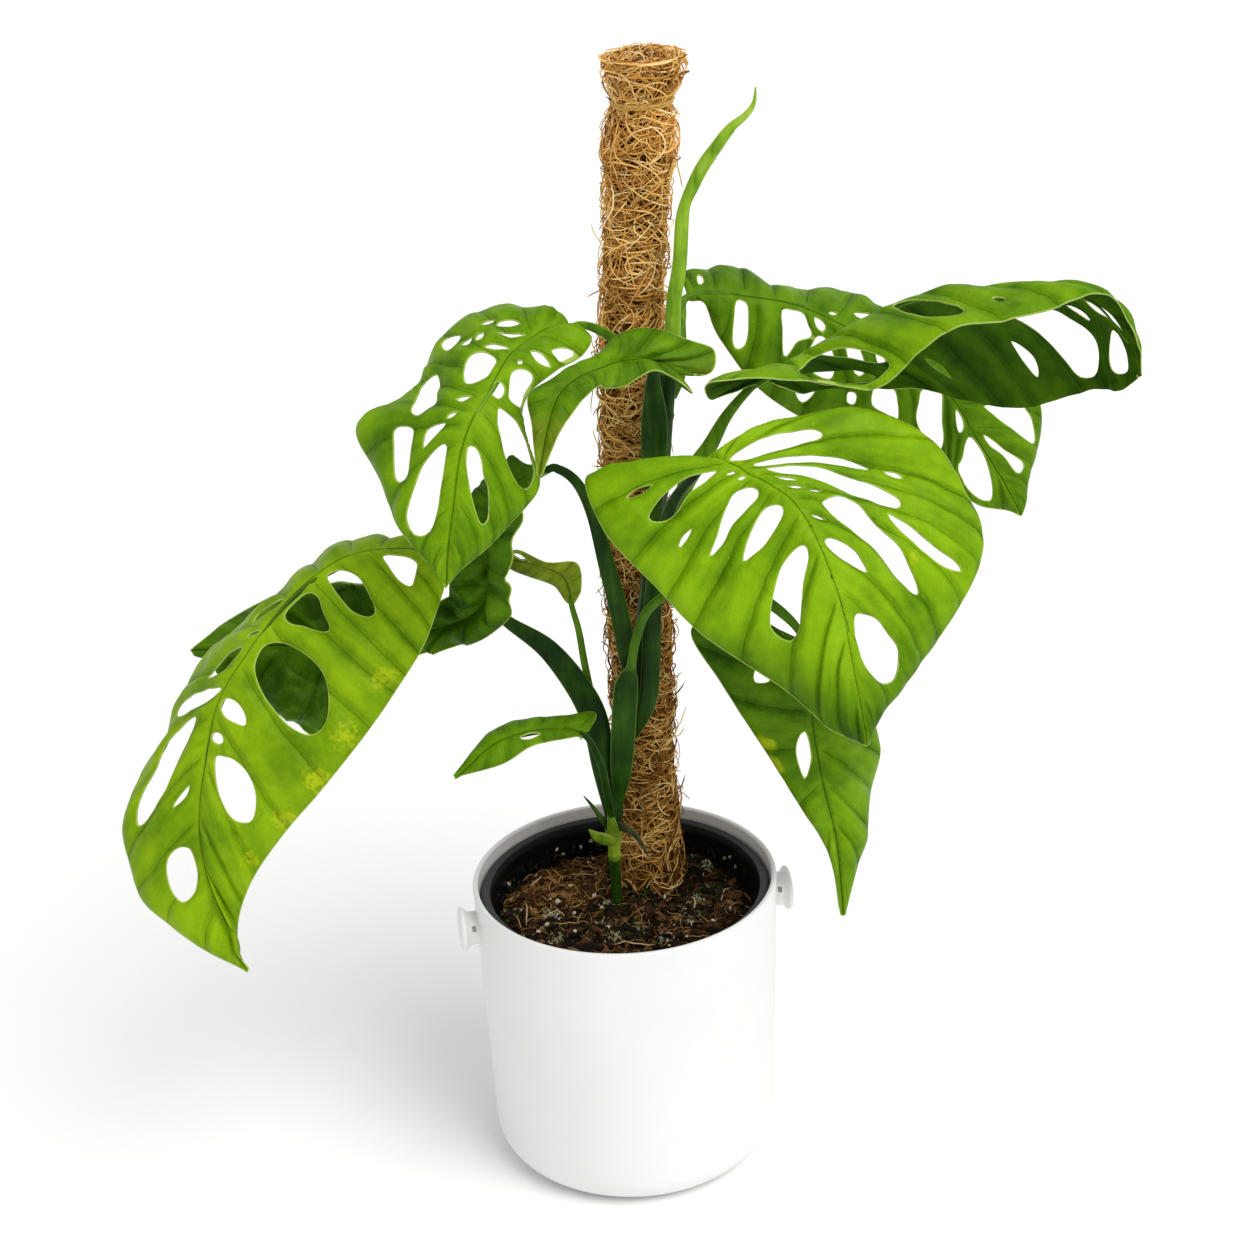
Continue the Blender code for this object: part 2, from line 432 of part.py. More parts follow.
    },
    "leaf_left_young": {
        "crown": 2,
        "wave": 1,
        "veins": [
            ((-23, 1, 338), (-21, 0, 338), (-19, -1, 339)),
            ((-27, 3, 344), (-22, 0, 346), (-15, -5, 349)),
            ((-33, 3, 350), (-25, -3, 356), (-17, -6, 364)),
            ((-43, 2, 356), (-37, -4, 363), (-33, -5, 366)),
            ((-51, 2, 358), (-49, -3, 366), (-47, -4, 372)),
            ((-56, 0, 364), (-58, 0, 366), (-56, 0, 368)),
        ],
        "windows": [],
        "petiole": [(-4, 7, 213), (-7, 9, 233), (-10, 9.5, 255), (-13, 10, 277), (-16, 9, 299),
                    (-18, 5, 320), (-21, 0, 338)],
        "sizes": [(1.8, 1.8), (2, 1.8), (2, 1.8), (2, 1.8), (2, 1.8), (1.8, 1.7), (1.5, 1.4)],
    },
}

SMALL_LEAVES = ("leaf_pole_front", "leaf_left_small", "leaf_left_young")

COLOURS = {
    "pot_white": ((0.82, 0.82, 0.80), 0.45),
    "pot_black": ((0.012, 0.012, 0.014), 0.5),
    "soil_brown": ((0.055, 0.03, 0.016), 0.95),
    "coir_brown": ((0.36, 0.19, 0.07), 0.95),
    "core_wood": ((0.45, 0.3, 0.17), 0.8),
    "twine": ((0.55, 0.33, 0.12), 0.85),
    "leaf_bright": ((0.1, 0.3, 0.012), 0.4),
    "leaf_dark": ((0.025, 0.1, 0.012), 0.38),
    "stem_green": ((0.05, 0.17, 0.02), 0.45),
    "new_green": ((0.3, 0.5, 0.08), 0.4),
}
DARK_LEAVES = ("leaf_right_low", "leaf_left_curled", "leaf_pole_front", "leaf_left_small")


# Shared helpers

def start_empty():
    for obj in list(bpy.data.objects):
        bpy.data.objects.remove(obj, do_unlink=True)


def new_collection(name):
    collection = bpy.data.collections.new(name)
    bpy.context.scene.collection.children.link(collection)
    return collection


def material(name):
    """The named colour as a Principled material, made once."""
    found = bpy.data.materials.get(name)
    if found:
        return found
    colour, roughness = COLOURS[name]
    made = bpy.data.materials.new(name)
    made.use_nodes = True
    shader = made.node_tree.nodes["Principled BSDF"]
    shader.inputs["Base Color"].default_value = (*colour, 1)
    shader.inputs["Roughness"].default_value = roughness
    shader.inputs["Metallic"].default_value = 0
    return made


def add_object(name, mesh, collection, material_name):
    obj = bpy.data.objects.new(name, mesh)
    obj.data.materials.clear()
    obj.data.materials.append(material(material_name))
    collection.objects.link(obj)
    return obj


def mesh_of(bm, name):
    """The bmesh as a mesh, with its faces turned outward."""
    bmesh.ops.recalc_face_normals(bm, faces=bm.faces[:])
    mesh = bpy.data.meshes.new(name)
    bm.to_mesh(mesh)
    bm.free()
    mesh.shade_smooth()
    mesh.set_sharp_from_angle(angle=math.radians(40))
    return mesh


def applied(obj):
    """Replaces the object's mesh by its evaluated one and clears its modifiers."""
    depsgraph = bpy.context.evaluated_depsgraph_get()
    mesh = bpy.data.meshes.new_from_object(obj.evaluated_get(depsgraph))
    obj.modifiers.clear()
    obj.data = mesh
    return obj


def combine(obj, other, operation, solver="EXACT"):
    """Joins the other object to this one or cuts it away, and removes it."""
    boolean = obj.modifiers.new(operation.lower(), "BOOLEAN")
    boolean.operation = operation
    boolean.solver = solver
    boolean.object = other
    applied(obj)
    bpy.data.objects.remove(other, do_unlink=True)
    return obj


def keep_largest(obj):
    """Fills sealed hollows and drops loose scraps: only the largest connected surface stays."""
    bm = bmesh.new()
    bm.from_mesh(obj.data)
    unseen = set(bm.verts)
    surfaces = []
    while unseen:
        surface = set()
        front = [unseen.pop()]
        while front:
            vert = front.pop()
            surface.add(vert)
            for edge in vert.link_edges:
                other = edge.other_vert(vert)
                if other in unseen:
                    unseen.remove(other)
                    front.append(other)
        surfaces.append(surface)
    surfaces.sort(key=len)
    scraps = [vert for surface in surfaces[:-1] for vert in surface]
    bmesh.ops.delete(bm, geom=scraps, context="VERTS")
    bm.to_mesh(obj.data)
    bm.free()


def spline(points, places):
    """Points on the smooth curve that passes the given points at the whole numbers 0, 1, 2 and on."""
    points = np.asarray(points, float)
    last = len(points) - 1
    guide = np.vstack([2 * points[0] - points[1], points, 2 * points[-1] - points[-2]])
    places = np.clip(np.asarray(places, float), 0, last)
    start = np.minimum(places.astype(int), last - 1)
    f = (places - start)[..., None]
    a, b, c, d = (guide[start + k] for k in range(4))
    return 0.5 * (2 * b + (c - a) * f + (2 * a - 5 * b + 4 * c - d) * f ** 2
                  + (3 * b - a - 3 * c + d) * f ** 3)


def ring(bm, centre, along, across, half_width, half_thickness, sides):
    """An elliptical ring of vertices round a centre line, and its edges."""
    up = along.cross(across)
    place = Matrix((across * half_width, up * half_thickness, along)).transposed().to_4x4()
    place.translation = Vector(centre)
    made = bmesh.ops.create_circle(bm, segments=sides, radius=1, matrix=place)
    verts = made["verts"]
    return verts, list({edge for vert in verts for edge in vert.link_edges})


def tube(bm, line, sizes, sides):
    """A closed tube along a smooth line. Its width starts out across +Y and turns with the line."""
    places = np.arange(len(line))
    ahead = spline(line, places + 0.05) - spline(line, places - 0.05)
    across = Vector(ahead[0]).cross(Vector((0, 1, 0)))
    rings = []
    for centre, along, (half_width, half_thickness) in zip(line, ahead, sizes):
        along = Vector(along).normalized()
        across = (across - along * along.dot(across)).normalized()
        rings.append(ring(bm, centre, along, across, half_width, half_thickness, sides))
    for (_, first), (_, second) in zip(rings, rings[1:]):
        bmesh.ops.bridge_loops(bm, edges=first + second)
    for verts, _ in (rings[0], rings[-1]):
        bmesh.ops.contextual_create(bm, geom=verts)
    bmesh.ops.triangulate(bm, faces=bm.faces[:])


def round_tube_object(name, line, radii, sides, collection, material_name):
    """A closed round tube as an object. The line is in metres."""
    bm = bmesh.new()
    tube(bm, line, [(r, r) for r in radii], sides)
    return add_object(name, mesh_of(bm, name), collection, material_name)


def turned(name, profile, segments, collection, material_name):
    """A solid turned round Z from a profile of (radius, height), given outside first from the top."""
    bm = bmesh.new()
    verts = [bm.verts.new((radius, 0, height)) for radius, height in profile]
    for first, second in zip(verts, verts[1:]):
        bm.edges.new((first, second))
    mesh = bpy.data.meshes.new(name)
    bm.to_mesh(mesh)
    bm.free()
    obj = add_object(name, mesh, collection, material_name)
    screw = obj.modifiers.new("turn", "SCREW")
    screw.steps = segments
    screw.render_steps = segments
    screw.use_merge_vertices = True
    screw.merge_threshold = 1e-5
    applied(obj)
    obj.data.shade_smooth()
    obj.data.set_sharp_from_angle(angle=math.radians(40))
    return obj


def arc(centre, radius, start, end, count):
    """Points of a circular arc from one angle in degrees to another."""
    angles = [math.radians(start + (end - start) * i / count) for i in range(count + 1)]
    return [(centre[0] + radius * math.cos(a), centre[1] + radius * math.sin(a)) for a in angles]


# Cover pot and its pegs

def pot_radius(height):
    """Outer radius of the cover pot's straight wall."""
    return POT_FOOT_RADIUS + (POT_RIM_RADIUS - POT_FOOT_RADIUS) * height / POT_HEIGHT


def peg(side):
    """A peg as an object: a shaft that starts inside the wall, a domed flange, and a slot in the shaft."""
    height = POT_HEIGHT - PEG_DROP
    root = -POT_WALL * 0.6
    face = PEG_SHAFT_LENGTH + PEG_FLANGE_DEPTH
    profile = [(0, face), (PEG_FLANGE_RADIUS * 0.6, face * 0.97), (PEG_FLANGE_RADIUS * 0.93, face * 0.9),
               (PEG_FLANGE_RADIUS, face * 0.8), (PEG_FLANGE_RADIUS * 0.96, PEG_SHAFT_LENGTH),
               (PEG_SHAFT_RADIUS, PEG_SHAFT_LENGTH - PEG_FLARE), (PEG_SHAFT_RADIUS, root), (0, root)]
    obj = turned("peg", profile, PEG_SEGMENTS, shapes, "pot_white")
    bm = bmesh.new()
    bmesh.ops.create_cube(bm, size=1)
    bmesh.ops.scale(bm, vec=(SLOT_WIDTH, PEG_SHAFT_RADIUS, SLOT_LENGTH), verts=bm.verts[:])
    outer_end = PEG_SHAFT_RADIUS * 1.5 - SLOT_DEPTH
    bmesh.ops.translate(bm, vec=(0, outer_end, SLOT_LENGTH / 2), verts=bm.verts[:])
    bmesh.ops.rotate(bm, matrix=Matrix.Rotation(-SLOT_TILT, 3, "Z"), verts=bm.verts[:])
    combine(obj, add_object("slot", mesh_of(bm, "slot"), shapes, "pot_white"), "DIFFERENCE")
    outward = Vector((side * math.cos(PEG_TURN), side * math.sin(PEG_TURN), 0))
    front = Vector((math.sin(PEG_TURN), -math.cos(PEG_TURN), 0))
    place = Matrix((Vector((0, 0, 1)), front, outward)).transposed().to_4x4()
    place.translation = outward * pot_radius(height) + Vector((0, 0, height))
    obj.data.transform(place)
    if place.determinant() < 0:
        obj.data.flip_normals()
    return obj


def make_cover_pot(collection):
    rim = POT_WALL / 2
    inner_foot = pot_radius(POT_FILLET) - POT_WALL
    inner_fillet = POT_FILLET - POT_WALL
    outside = arc((POT_RIM_RADIUS - rim, POT_HEIGHT - rim), rim, 180, 0, 4)
    outside += arc((pot_radius(POT_FILLET) - POT_FILLET, POT_FILLET), POT_FILLET, 0, -90, 4)
    outside += [(0, 0)]
    inside = [(0, POT_WALL)]
    inside += arc((inner_foot - inner_fillet, POT_WALL + inner_fillet), inner_fillet, -90, 0, 3)
    profile = outside + inside + outside[:1]
    obj = turned("cover_pot", profile, POT_SEGMENTS, collection, "pot_white")
    combine(obj, peg(-1), "UNION")
    combine(obj, peg(1), "UNION")
    return obj


# Nursery pot

def inner_radius(height):
    """Inner radius of the nursery pot's wall."""
    share = (height - POT_WALL - GAP) / (INNER_TOP - POT_WALL - GAP)
    foot = INNER_FOOT_RADIUS - INNER_WALL
    top = INNER_RIM_RADIUS - INNER_RIM_WIDTH
    return foot + (top - foot) * share


def make_nursery_pot(collection):
    base = POT_WALL + GAP
    floor = base + INNER_WALL
    corner = 4 * MM
    rim_edge = 1.5 * MM
    wall_top = INNER_TOP - INNER_RIM_HEIGHT
    profile = [(inner_radius(INNER_TOP), INNER_TOP - rim_edge),
               (inner_radius(INNER_TOP) + rim_edge, INNER_TOP),
               (INNER_RIM_RADIUS - rim_edge, INNER_TOP), (INNER_RIM_RADIUS, INNER_TOP - rim_edge),
               (INNER_RIM_RADIUS, wall_top), (inner_radius(wall_top) + INNER_WALL, wall_top),
               (inner_radius(floor) + INNER_WALL, floor + corner),
               (inner_radius(base) + INNER_WALL - corner, base), (0, base), (0, floor),
               (inner_radius(floor) - corner, floor), (inner_radius(floor + corner), floor + corner),
               (inner_radius(INNER_TOP), INNER_TOP - rim_edge)]
    obj = turned("nursery_pot", profile, INNER_SEGMENTS, collection, "pot_black")
    for i in range(DRAIN_COUNT):
        angle = 2 * math.pi * i / DRAIN_COUNT
        bm = bmesh.new()
        place = Matrix.Translation((DRAIN_RING_RADIUS * math.cos(angle),
                                    DRAIN_RING_RADIUS * math.sin(angle), base))
        bmesh.ops.create_cone(bm, cap_ends=True, segments=DRAIN_SEGMENTS, radius1=DRAIN_RADIUS,
                              radius2=DRAIN_RADIUS, depth=4 * INNER_WALL, matrix=place)
        combine(obj, add_object("drain", mesh_of(bm, "drain"), shapes, "pot_black"), "DIFFERENCE")
    return obj


# Soil, with plain holes for the pole and the stem

def make_soil(collection):
    base = POT_WALL + 2 * GAP + INNER_WALL
    corner = 6 * MM
    top_radius = inner_radius(SOIL_LEVEL) - GAP
    profile = [(0, SOIL_LEVEL)]
    profile += [(top_radius * (i + 1) / SOIL_RINGS, SOIL_LEVEL) for i in range(SOIL_RINGS)]
    profile += [(inner_radius(base + corner) - 2 * GAP, base + corner),
                (inner_radius(base) - corner, base), (0, base)]
    obj = turned("soil", profile, INNER_SEGMENTS, collection, "soil_brown")
    for vert in obj.data.vertices:
        radius = math.hypot(vert.co.x, vert.co.y)
        if vert.co.z > SOIL_LEVEL - 0.1 * MM and radius < top_radius * 0.99:
            mound = SOIL_MOUND * (1 - radius / top_radius)
            bumps = noise.noise(Vector((vert.co.x, vert.co.y, 0)) * SOIL_GRAIN) * SOIL_RELIEF
            vert.co.z += mound + bumps
    return obj


def cut_soil(soil):
    """Sinks the holes that the coir pole, its core and the stem stand in."""
    x, y, foot = (value * MM for value in POLE_LINE[0])
    pole = [Vector(point) * MM for point in POLE_LINE[:3]]
    pole[0].z = COIR_FOOT - GAP
    core = [Vector((x, y, foot - GAP)), Vector((x, y, COIR_FOOT + MM))]
    stem = [Vector(point) * MM for point in STEM_LINE[:3]]
    stem[0].z -= GAP
    for line, radius, sides in ((pole, COIR_RADIUS + COIR_RELIEF, COIR_SEGMENTS),
                                (core, CORE_RADIUS, CORE_SIDES), (stem, STEM_RADII[0] * MM, STEM_SIDES)):
        hole = round_tube_object("hole", line, [radius + GAP] * len(line), sides, shapes, "soil_brown")
        combine(soil, hole, "DIFFERENCE")


# Coir pole: wooden core, coir wrap and the twine round its top

def pole_points(heights):
    """The pole's centres at some heights, in metres."""
    line = np.asarray(POLE_LINE, float) * MM
    return spline(line, np.interp(heights, line[:, 2], np.arange(len(line))))


def core_shape(bm, radius):
    """A tube along the whole pole that runs on past its top."""
    line = np.asarray(POLE_LINE, float) * MM
    line = np.vstack([line, 2 * line[-1] - line[-2]])
    tube(bm, line, [(radius, radius)] * len(line), CORE_SIDES)


def make_pole_core(collection):
    """The core ends a little below the top of the coir."""
    bm = bmesh.new()
    core_shape(bm, CORE_RADIUS)
    top = (0, 0, POLE_LINE[-1][2] * MM - CORE_RECESS)
    cut = bmesh.ops.bisect_plane(bm, geom=bm.verts[:] + bm.edges[:] + bm.faces[:], plane_co=top,
                                 plane_no=(0, 0, 1), clear_outer=True)
    rim = [item for item in cut["geom_cut"] if isinstance(item, bmesh.types.BMEdge)]
    bmesh.ops.contextual_create(bm, geom=rim)
    bmesh.ops.triangulate(bm, faces=bm.faces[:])
    return add_object("pole_core", mesh_of(bm, "pole_core"), collection, "core_wood")


def make_coir_wrap(collection):
    """A lumpy sleeve, waisted where the twine ties it and flared above."""
    top = POLE_LINE[-1][2] * MM
    heights = np.concatenate([np.linspace(COIR_FOOT, TIE_HEIGHT - 3 * TIE_WIDTH, COIR_RINGS),
                              np.linspace(TIE_HEIGHT - 1.5 * TIE_WIDTH, top, 6)])
    bm = bmesh.new()
    sizes = []
    for height in heights:
        flare = COIR_FLARE * max(0, (height - TIE_HEIGHT) / (top - TIE_HEIGHT)) ** 0.5
        waist = 2.2 * TIE_SINK * math.exp(-((height - TIE_HEIGHT) / (5 * TIE_WIDTH)) ** 2)
        size = COIR_RADIUS + flare - waist
        sizes.append((size, size))
    tube(bm, pole_points(heights), sizes, COIR_SEGMENTS)
    for vert in bm.verts:
        centre = Vector(pole_points([vert.co.z])[0])
        outward = Vector((vert.co.x - centre.x, vert.co.y - centre.y, 0))
        calm = min(1, abs(vert.co.z - TIE_HEIGHT) / (12 * MM))
        vert.co += outward.normalized() * noise.noise(vert.co * COIR_GRAIN) * COIR_RELIEF * calm
    coir = add_object("coir_wrap", mesh_of(bm, "coir_wrap"), collection, "coir_brown")
    bm = bmesh.new()
    core_shape(bm, CORE_RADIUS + GAP)
    return combine(coir, add_object("bore", mesh_of(bm, "bore"), shapes, "coir_brown"), "DIFFERENCE")


def make_twine_tie(collection):
    """Two turns of twine round the waist of the coir wrap."""
    heights = [TIE_HEIGHT - 4 * MM, TIE_HEIGHT, TIE_HEIGHT + 4 * MM]
    below, centre, above = (Vector(point) for point in pole_points(heights))
    lean = Vector((0, 0, 1)).rotation_difference(above - below).to_matrix()
    major = COIR_RADIUS - TIE_SINK + GAP + TIE_RADIUS
    place = Matrix.Translation((major, 0, 0)) @ Matrix.Rotation(math.pi / 2, 4, "X")
    bm = bmesh.new()
    tie = bmesh.ops.create_circle(bm, segments=6, radius=TIE_RADIUS, matrix=place)
    bmesh.ops.spin(bm, geom=tie["verts"] + bm.edges[:], cent=(0, 0, 0), axis=(0, 0, 1),
                   angle=2 * math.pi, steps=TIE_SEGMENTS, use_merge=True)
    bmesh.ops.scale(bm, vec=(1, 1, TIE_WIDTH / TIE_RADIUS), verts=bm.verts[:])
    bmesh.ops.transform(bm, matrix=Matrix.Translation(centre) @ lean.to_4x4(), verts=bm.verts[:])
    bmesh.ops.triangulate(bm, faces=bm.faces[:])
    return add_object("twine_tie", mesh_of(bm, "twine_tie"), collection, "twine")


# Stem, its bracts and the rolled new leaf

def make_stem(collection):
    line = np.asarray(STEM_LINE, float) * MM
    stem = round_tube_object("stem", line, np.asarray(STEM_RADII) * MM, STEM_SIDES, collection,
                             "stem_green")
    for points, radii in BRACTS:
        bract = round_tube_object("bract", np.asarray(points, float) * MM, np.asarray(radii) * MM,
                                  BRACT_SIDES, shapes, "stem_green")
        combine(stem, bract, "UNION")
    return stem


def make_new_leaf(collection):
    line = np.asarray(SPEAR_LINE, float) * MM
    stem_end = np.asarray(STEM_LINE[-1], float) - np.asarray(STEM_LINE[-2], float)
    stem_end = stem_end / np.linalg.norm(stem_end)
    line[0] = np.asarray(STEM_LINE[-1], float) * MM + stem_end * 3 * GAP
    return round_tube_object("new_leaf", line, np.asarray(SPEAR_RADII) * MM, SPEAR_SIDES, collection,
                             "new_green")


# Leaves

def blade_point(veins, crown, wave, place, share):
    """Points of the blade, in millimetres, from vein number and signed share of the way out.

    Each half swells between midrib and margin by the crown, and its margin rises and falls by
    the wave.
    """
    left, mid, right = (spline(veins[:, k], place) for k in range(3))
    ahead = spline(veins[:, 1], place + 0.05) - spline(veins[:, 1], place - 0.05)
    on_left = (share < 0)[..., None]
    reach = np.where(on_left, left, right) - mid
    upward = np.where(on_left, np.cross(ahead, reach), np.cross(reach, ahead))
    upward = upward / (np.linalg.norm(upward, axis=-1, keepdims=True) + 1e-9)
    out = np.abs(share)[..., None]
    swell = np.sqrt(np.sin(np.pi * np.clip(place / (len(veins) - 1), 0, 1)))[..., None]
    rise = crown * 4 * out * (1 - out) + wave * out ** 2 * np.sin(WAVE_PITCH * place + 1)[..., None]
    return mid + reach * out + upward * swell * rise


def lay_flat(veins):
    """The blade pressed flat: each vein's place along +X, and how far it reaches on either side."""
    rows = np.linalg.norm(np.diff(veins, axis=0), axis=2).mean(axis=1)
    places = np.concatenate([[0], np.cumsum(rows)])
    left, right = (np.maximum(np.linalg.norm(veins[:, k] - veins[:, 1], axis=1), 1) for k in (0, 2))
    return places, left, right


def flat_point(flat, place, share):
    numbers = np.arange(len(flat[0]))
    along, left, right = (np.interp(place, numbers, row) for row in flat)
    return np.column_stack([along, share * np.where(share < 0, left, right)])


def vein_coordinates(flat, points):
    """Vein number and signed share of points on the flat blade."""
    place = np.interp(points[:, 0], flat[0], np.arange(len(flat[0])))
    left, right = (np.interp(points[:, 0], flat[0], row) for row in flat[1:])
    share = points[:, 1] / np.where(points[:, 1] < 0, left, right)
    return place, np.clip(share, -1, 1)


def window_loop(flat, points, step):
    """Even points on the closed smooth curve through a window's points, on the flat blade."""
    points = np.asarray(points, float)
    round_trip = np.vstack([points[-1:], points, points[:2]])
    fine = spline(round_trip, np.linspace(1, len(points) + 1, 30 * len(points)))
    fine = flat_point(flat, fine[:, 0], fine[:, 1])
    length = np.concatenate([[0], np.cumsum(np.linalg.norm(np.diff(fine, axis=0), axis=1))])
    even = np.linspace(0, length[-1], max(6, round(length[-1] / step)), endpoint=False)
    return np.column_stack([np.interp(even, length, fine[:, k]) for k in (0, 1)])


def edge_loop(bm, points, closed=True):
    verts = [bm.verts.new((x, y, 0)) for x, y in points]
    pairs = list(zip(verts, verts[1:])) + ([(verts[-1], verts[0])] if closed else [])
    return verts, [bm.edges.new(pair) for pair in pairs]


def blade_sheet(leaf, face_size, window_step):
    """The blade as a bent sheet of triangles, with its windows open."""
    veins = np.asarray(leaf["veins"], float)
    flat = lay_flat(veins)
    last = len(veins) - 1
    bm = bmesh.new()
    steps = max(2 * last, int(flat[0][-1] / face_size))
    places = np.linspace(0, last, steps + 1)
    mid_verts, mid_edges = edge_loop(bm, flat_point(flat, places, 0 * places), closed=False)
    for edge in mid_edges:
        edge.smooth = False
    for sign in (-1, 1):
        margin_length = np.sum(np.linalg.norm(np.diff(veins[:, 1 + sign], axis=0), axis=1))
        margin_steps = max(2 * last, int(margin_length / face_size))
        margin = np.linspace(0, last, margin_steps + 1)
        rim, edges = edge_loop(bm, flat_point(flat, margin, sign + 0 * margin), closed=False)
        edges.append(bm.edges.new((mid_verts[0], rim[0])))
        edges.append(bm.edges.new((mid_verts[-1], rim[-1])))
        for points in leaf["windows"]:
            if points[0][1] * sign > 0:
                edges += edge_loop(bm, window_loop(flat, points, window_step))[1]
        bmesh.ops.triangle_fill(bm, edges=edges + mid_edges, use_beauty=True)
    refine(bm, face_size)
    points = np.array([vert.co[:2] for vert in bm.verts])
    place, share = vein_coordinates(flat, points)
    bent = blade_point(veins, leaf["crown"], leaf["wave"], place, share)
    for vert, point in zip(bm.verts, bent):
        vert.co = Vector(point) * MM
    bmesh.ops.recalc_face_normals(bm, faces=bm.faces[:])
    return bm


def refine(bm, face_size):
    """Splits the long inner edges until the triangles are even."""
    for _ in range(8):
        long_edges = [e for e in bm.edges if e.calc_length() > face_size * 1.35 and not e.is_boundary]
        if not long_edges:
            break
        bmesh.ops.subdivide_edges(bm, edges=long_edges, cuts=1)
        bmesh.ops.triangulate(bm, faces=bm.faces[:])
        loose = [e for e in bm.edges if e.smooth and not e.is_boundary]
        bmesh.ops.beautify_fill(bm, faces=bm.faces[:], edges=loose)
    inner = [v for v in bm.verts if not v.is_boundary and all(e.smooth for e in v.link_edges)]
    for _ in range(3):
        bmesh.ops.smooth_vert(bm, verts=inner, factor=0.5, use_axis_x=True, use_axis_y=True)


def petiole_with_midrib(leaf):
    """The leaf stalk's centre line and sizes, run on under the blade as its thick midrib."""
    veins = np.asarray(leaf["veins"], float)
    last = len(veins) - 1
    line = [np.array(point, float) for point in leaf["petiole"]]
    sizes = list(leaf["sizes"])
    mid = veins[:, 1]
    length = np.concatenate([[0], np.cumsum(np.linalg.norm(np.diff(mid, axis=0), axis=1))])
    for share in VEIN_REACH * np.linspace(0.25, 1, 4):
        place = np.array([np.interp(share * length[-1], length, np.arange(last + 1))])
        line.append(blade_point(veins, 0, 0, place, np.array([0.0]))[0])
        radius = VEIN_RADIUS * (1 - share / VEIN_REACH) * sizes[len(leaf["petiole"]) - 1][1] / 1.8 + 0.55
        sizes.append((radius, radius))
    return np.array(line) * MM, np.array(sizes) * MM


def make_leaf(name, leaf, collection):
    colour = "leaf_dark" if name in DARK_LEAVES else "leaf_bright"
    small = name in SMALL_LEAVES
    bm = blade_sheet(leaf, SMALL_FACE_SIZE if small else FACE_SIZE,
                     SMALL_WINDOW_STEP if small else WINDOW_STEP)
    sheet = bpy.data.meshes.new(name)
    bm.to_mesh(sheet)
    bm.free()
    obj = add_object(name, sheet, collection, colour)
    solidify = obj.modifiers.new("thickness", "SOLIDIFY")
    solidify.thickness = BLADE_THICKNESS
    solidify.offset = 0
    applied(obj)
    line, sizes = petiole_with_midrib(leaf)
    bm = bmesh.new()
    tube(bm, line, sizes, PETIOLE_SIDES)
    stalk = add_object("stalk", mesh_of(bm, "stalk"), shapes, colour)
    combine(obj, stalk, "UNION", "MANIFOLD")
    clearance = round_tube_object("clearance", np.asarray(STEM_LINE, float) * MM,
                                  np.asarray(STEM_RADII) * MM + GAP, STEM_SIDES, shapes, colour)
    combine(obj, clearance, "DIFFERENCE", "MANIFOLD")
    keep_largest(obj)
    obj.data.shade_smooth()
    obj.data.set_sharp_from_angle(angle=math.radians(50))
    return obj


start_empty()
plant = new_collection("potted_monstera")
shapes = new_collection("shapes")
make_cover_pot(plant)
make_nursery_pot(plant)
cut_soil(make_soil(plant))
make_pole_core(plant)
make_coir_wrap(plant)
make_twine_tie(plant)
make_stem(plant)
make_new_leaf(plant)
for leaf_name, leaf_shape in LEAVES.items():
    make_leaf(leaf_name, leaf_shape, plant)
bpy.data.collections.remove(shapes)
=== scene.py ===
"""Looks for a potted climbing monstera (Monstera epipremnoides) on a coir pole.

Metres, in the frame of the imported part: the pot stands on the XY plane, its axis is +Z, and the
plant faces -Y. The points of leaves, stalks, stem and pole are in millimetres, scaled by MM.
"""

import math
import random

import bmesh
import bpy
import numpy as np
from mathutils import Matrix, Vector, noise


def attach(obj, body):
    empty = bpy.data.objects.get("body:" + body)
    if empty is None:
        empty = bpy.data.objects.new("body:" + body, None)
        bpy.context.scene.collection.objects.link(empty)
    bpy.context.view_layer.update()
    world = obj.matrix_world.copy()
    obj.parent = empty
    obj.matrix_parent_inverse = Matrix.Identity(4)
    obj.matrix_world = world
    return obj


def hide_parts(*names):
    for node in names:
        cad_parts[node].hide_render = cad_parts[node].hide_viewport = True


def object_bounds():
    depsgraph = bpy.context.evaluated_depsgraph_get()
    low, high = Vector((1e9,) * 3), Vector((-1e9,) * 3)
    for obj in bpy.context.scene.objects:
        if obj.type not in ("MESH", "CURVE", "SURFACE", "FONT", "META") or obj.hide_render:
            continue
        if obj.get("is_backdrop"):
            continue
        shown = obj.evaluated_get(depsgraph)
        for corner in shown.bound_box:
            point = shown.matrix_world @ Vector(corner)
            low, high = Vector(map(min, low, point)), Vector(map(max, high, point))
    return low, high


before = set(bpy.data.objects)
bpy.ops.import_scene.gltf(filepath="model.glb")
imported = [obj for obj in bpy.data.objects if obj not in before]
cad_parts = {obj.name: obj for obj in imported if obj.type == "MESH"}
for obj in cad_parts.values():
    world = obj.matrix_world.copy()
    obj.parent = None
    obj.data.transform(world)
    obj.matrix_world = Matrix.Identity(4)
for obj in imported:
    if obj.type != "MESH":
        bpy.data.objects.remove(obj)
part_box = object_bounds()
MM = 0.001


# Cover pot: a white moulded plastic pot with a thin round lip, nearly straight walls and a
# rounded foot. Two spool-shaped pegs for a handle are moulded in one with it, each with a slot.

POT_RIM, POT_FOOT, POT_HEIGHT = 85, 80, 171
POT_WALL, POT_FILLET = 3, 21
PEG_HEIGHT, PEG_TURN = 149, math.radians(9)
# The slot: its middle out along the shaft, half its width, its depth and the width of its rim, then
# its turn and half its length round the shaft.
SLOT_OUT, SLOT_HALF, SLOT_DEPTH, SLOT_RIM = 2.6, 1.5, 3.5, 0.25
SLOT_TURN, SLOT_SPREAD = math.radians(28), 0.2


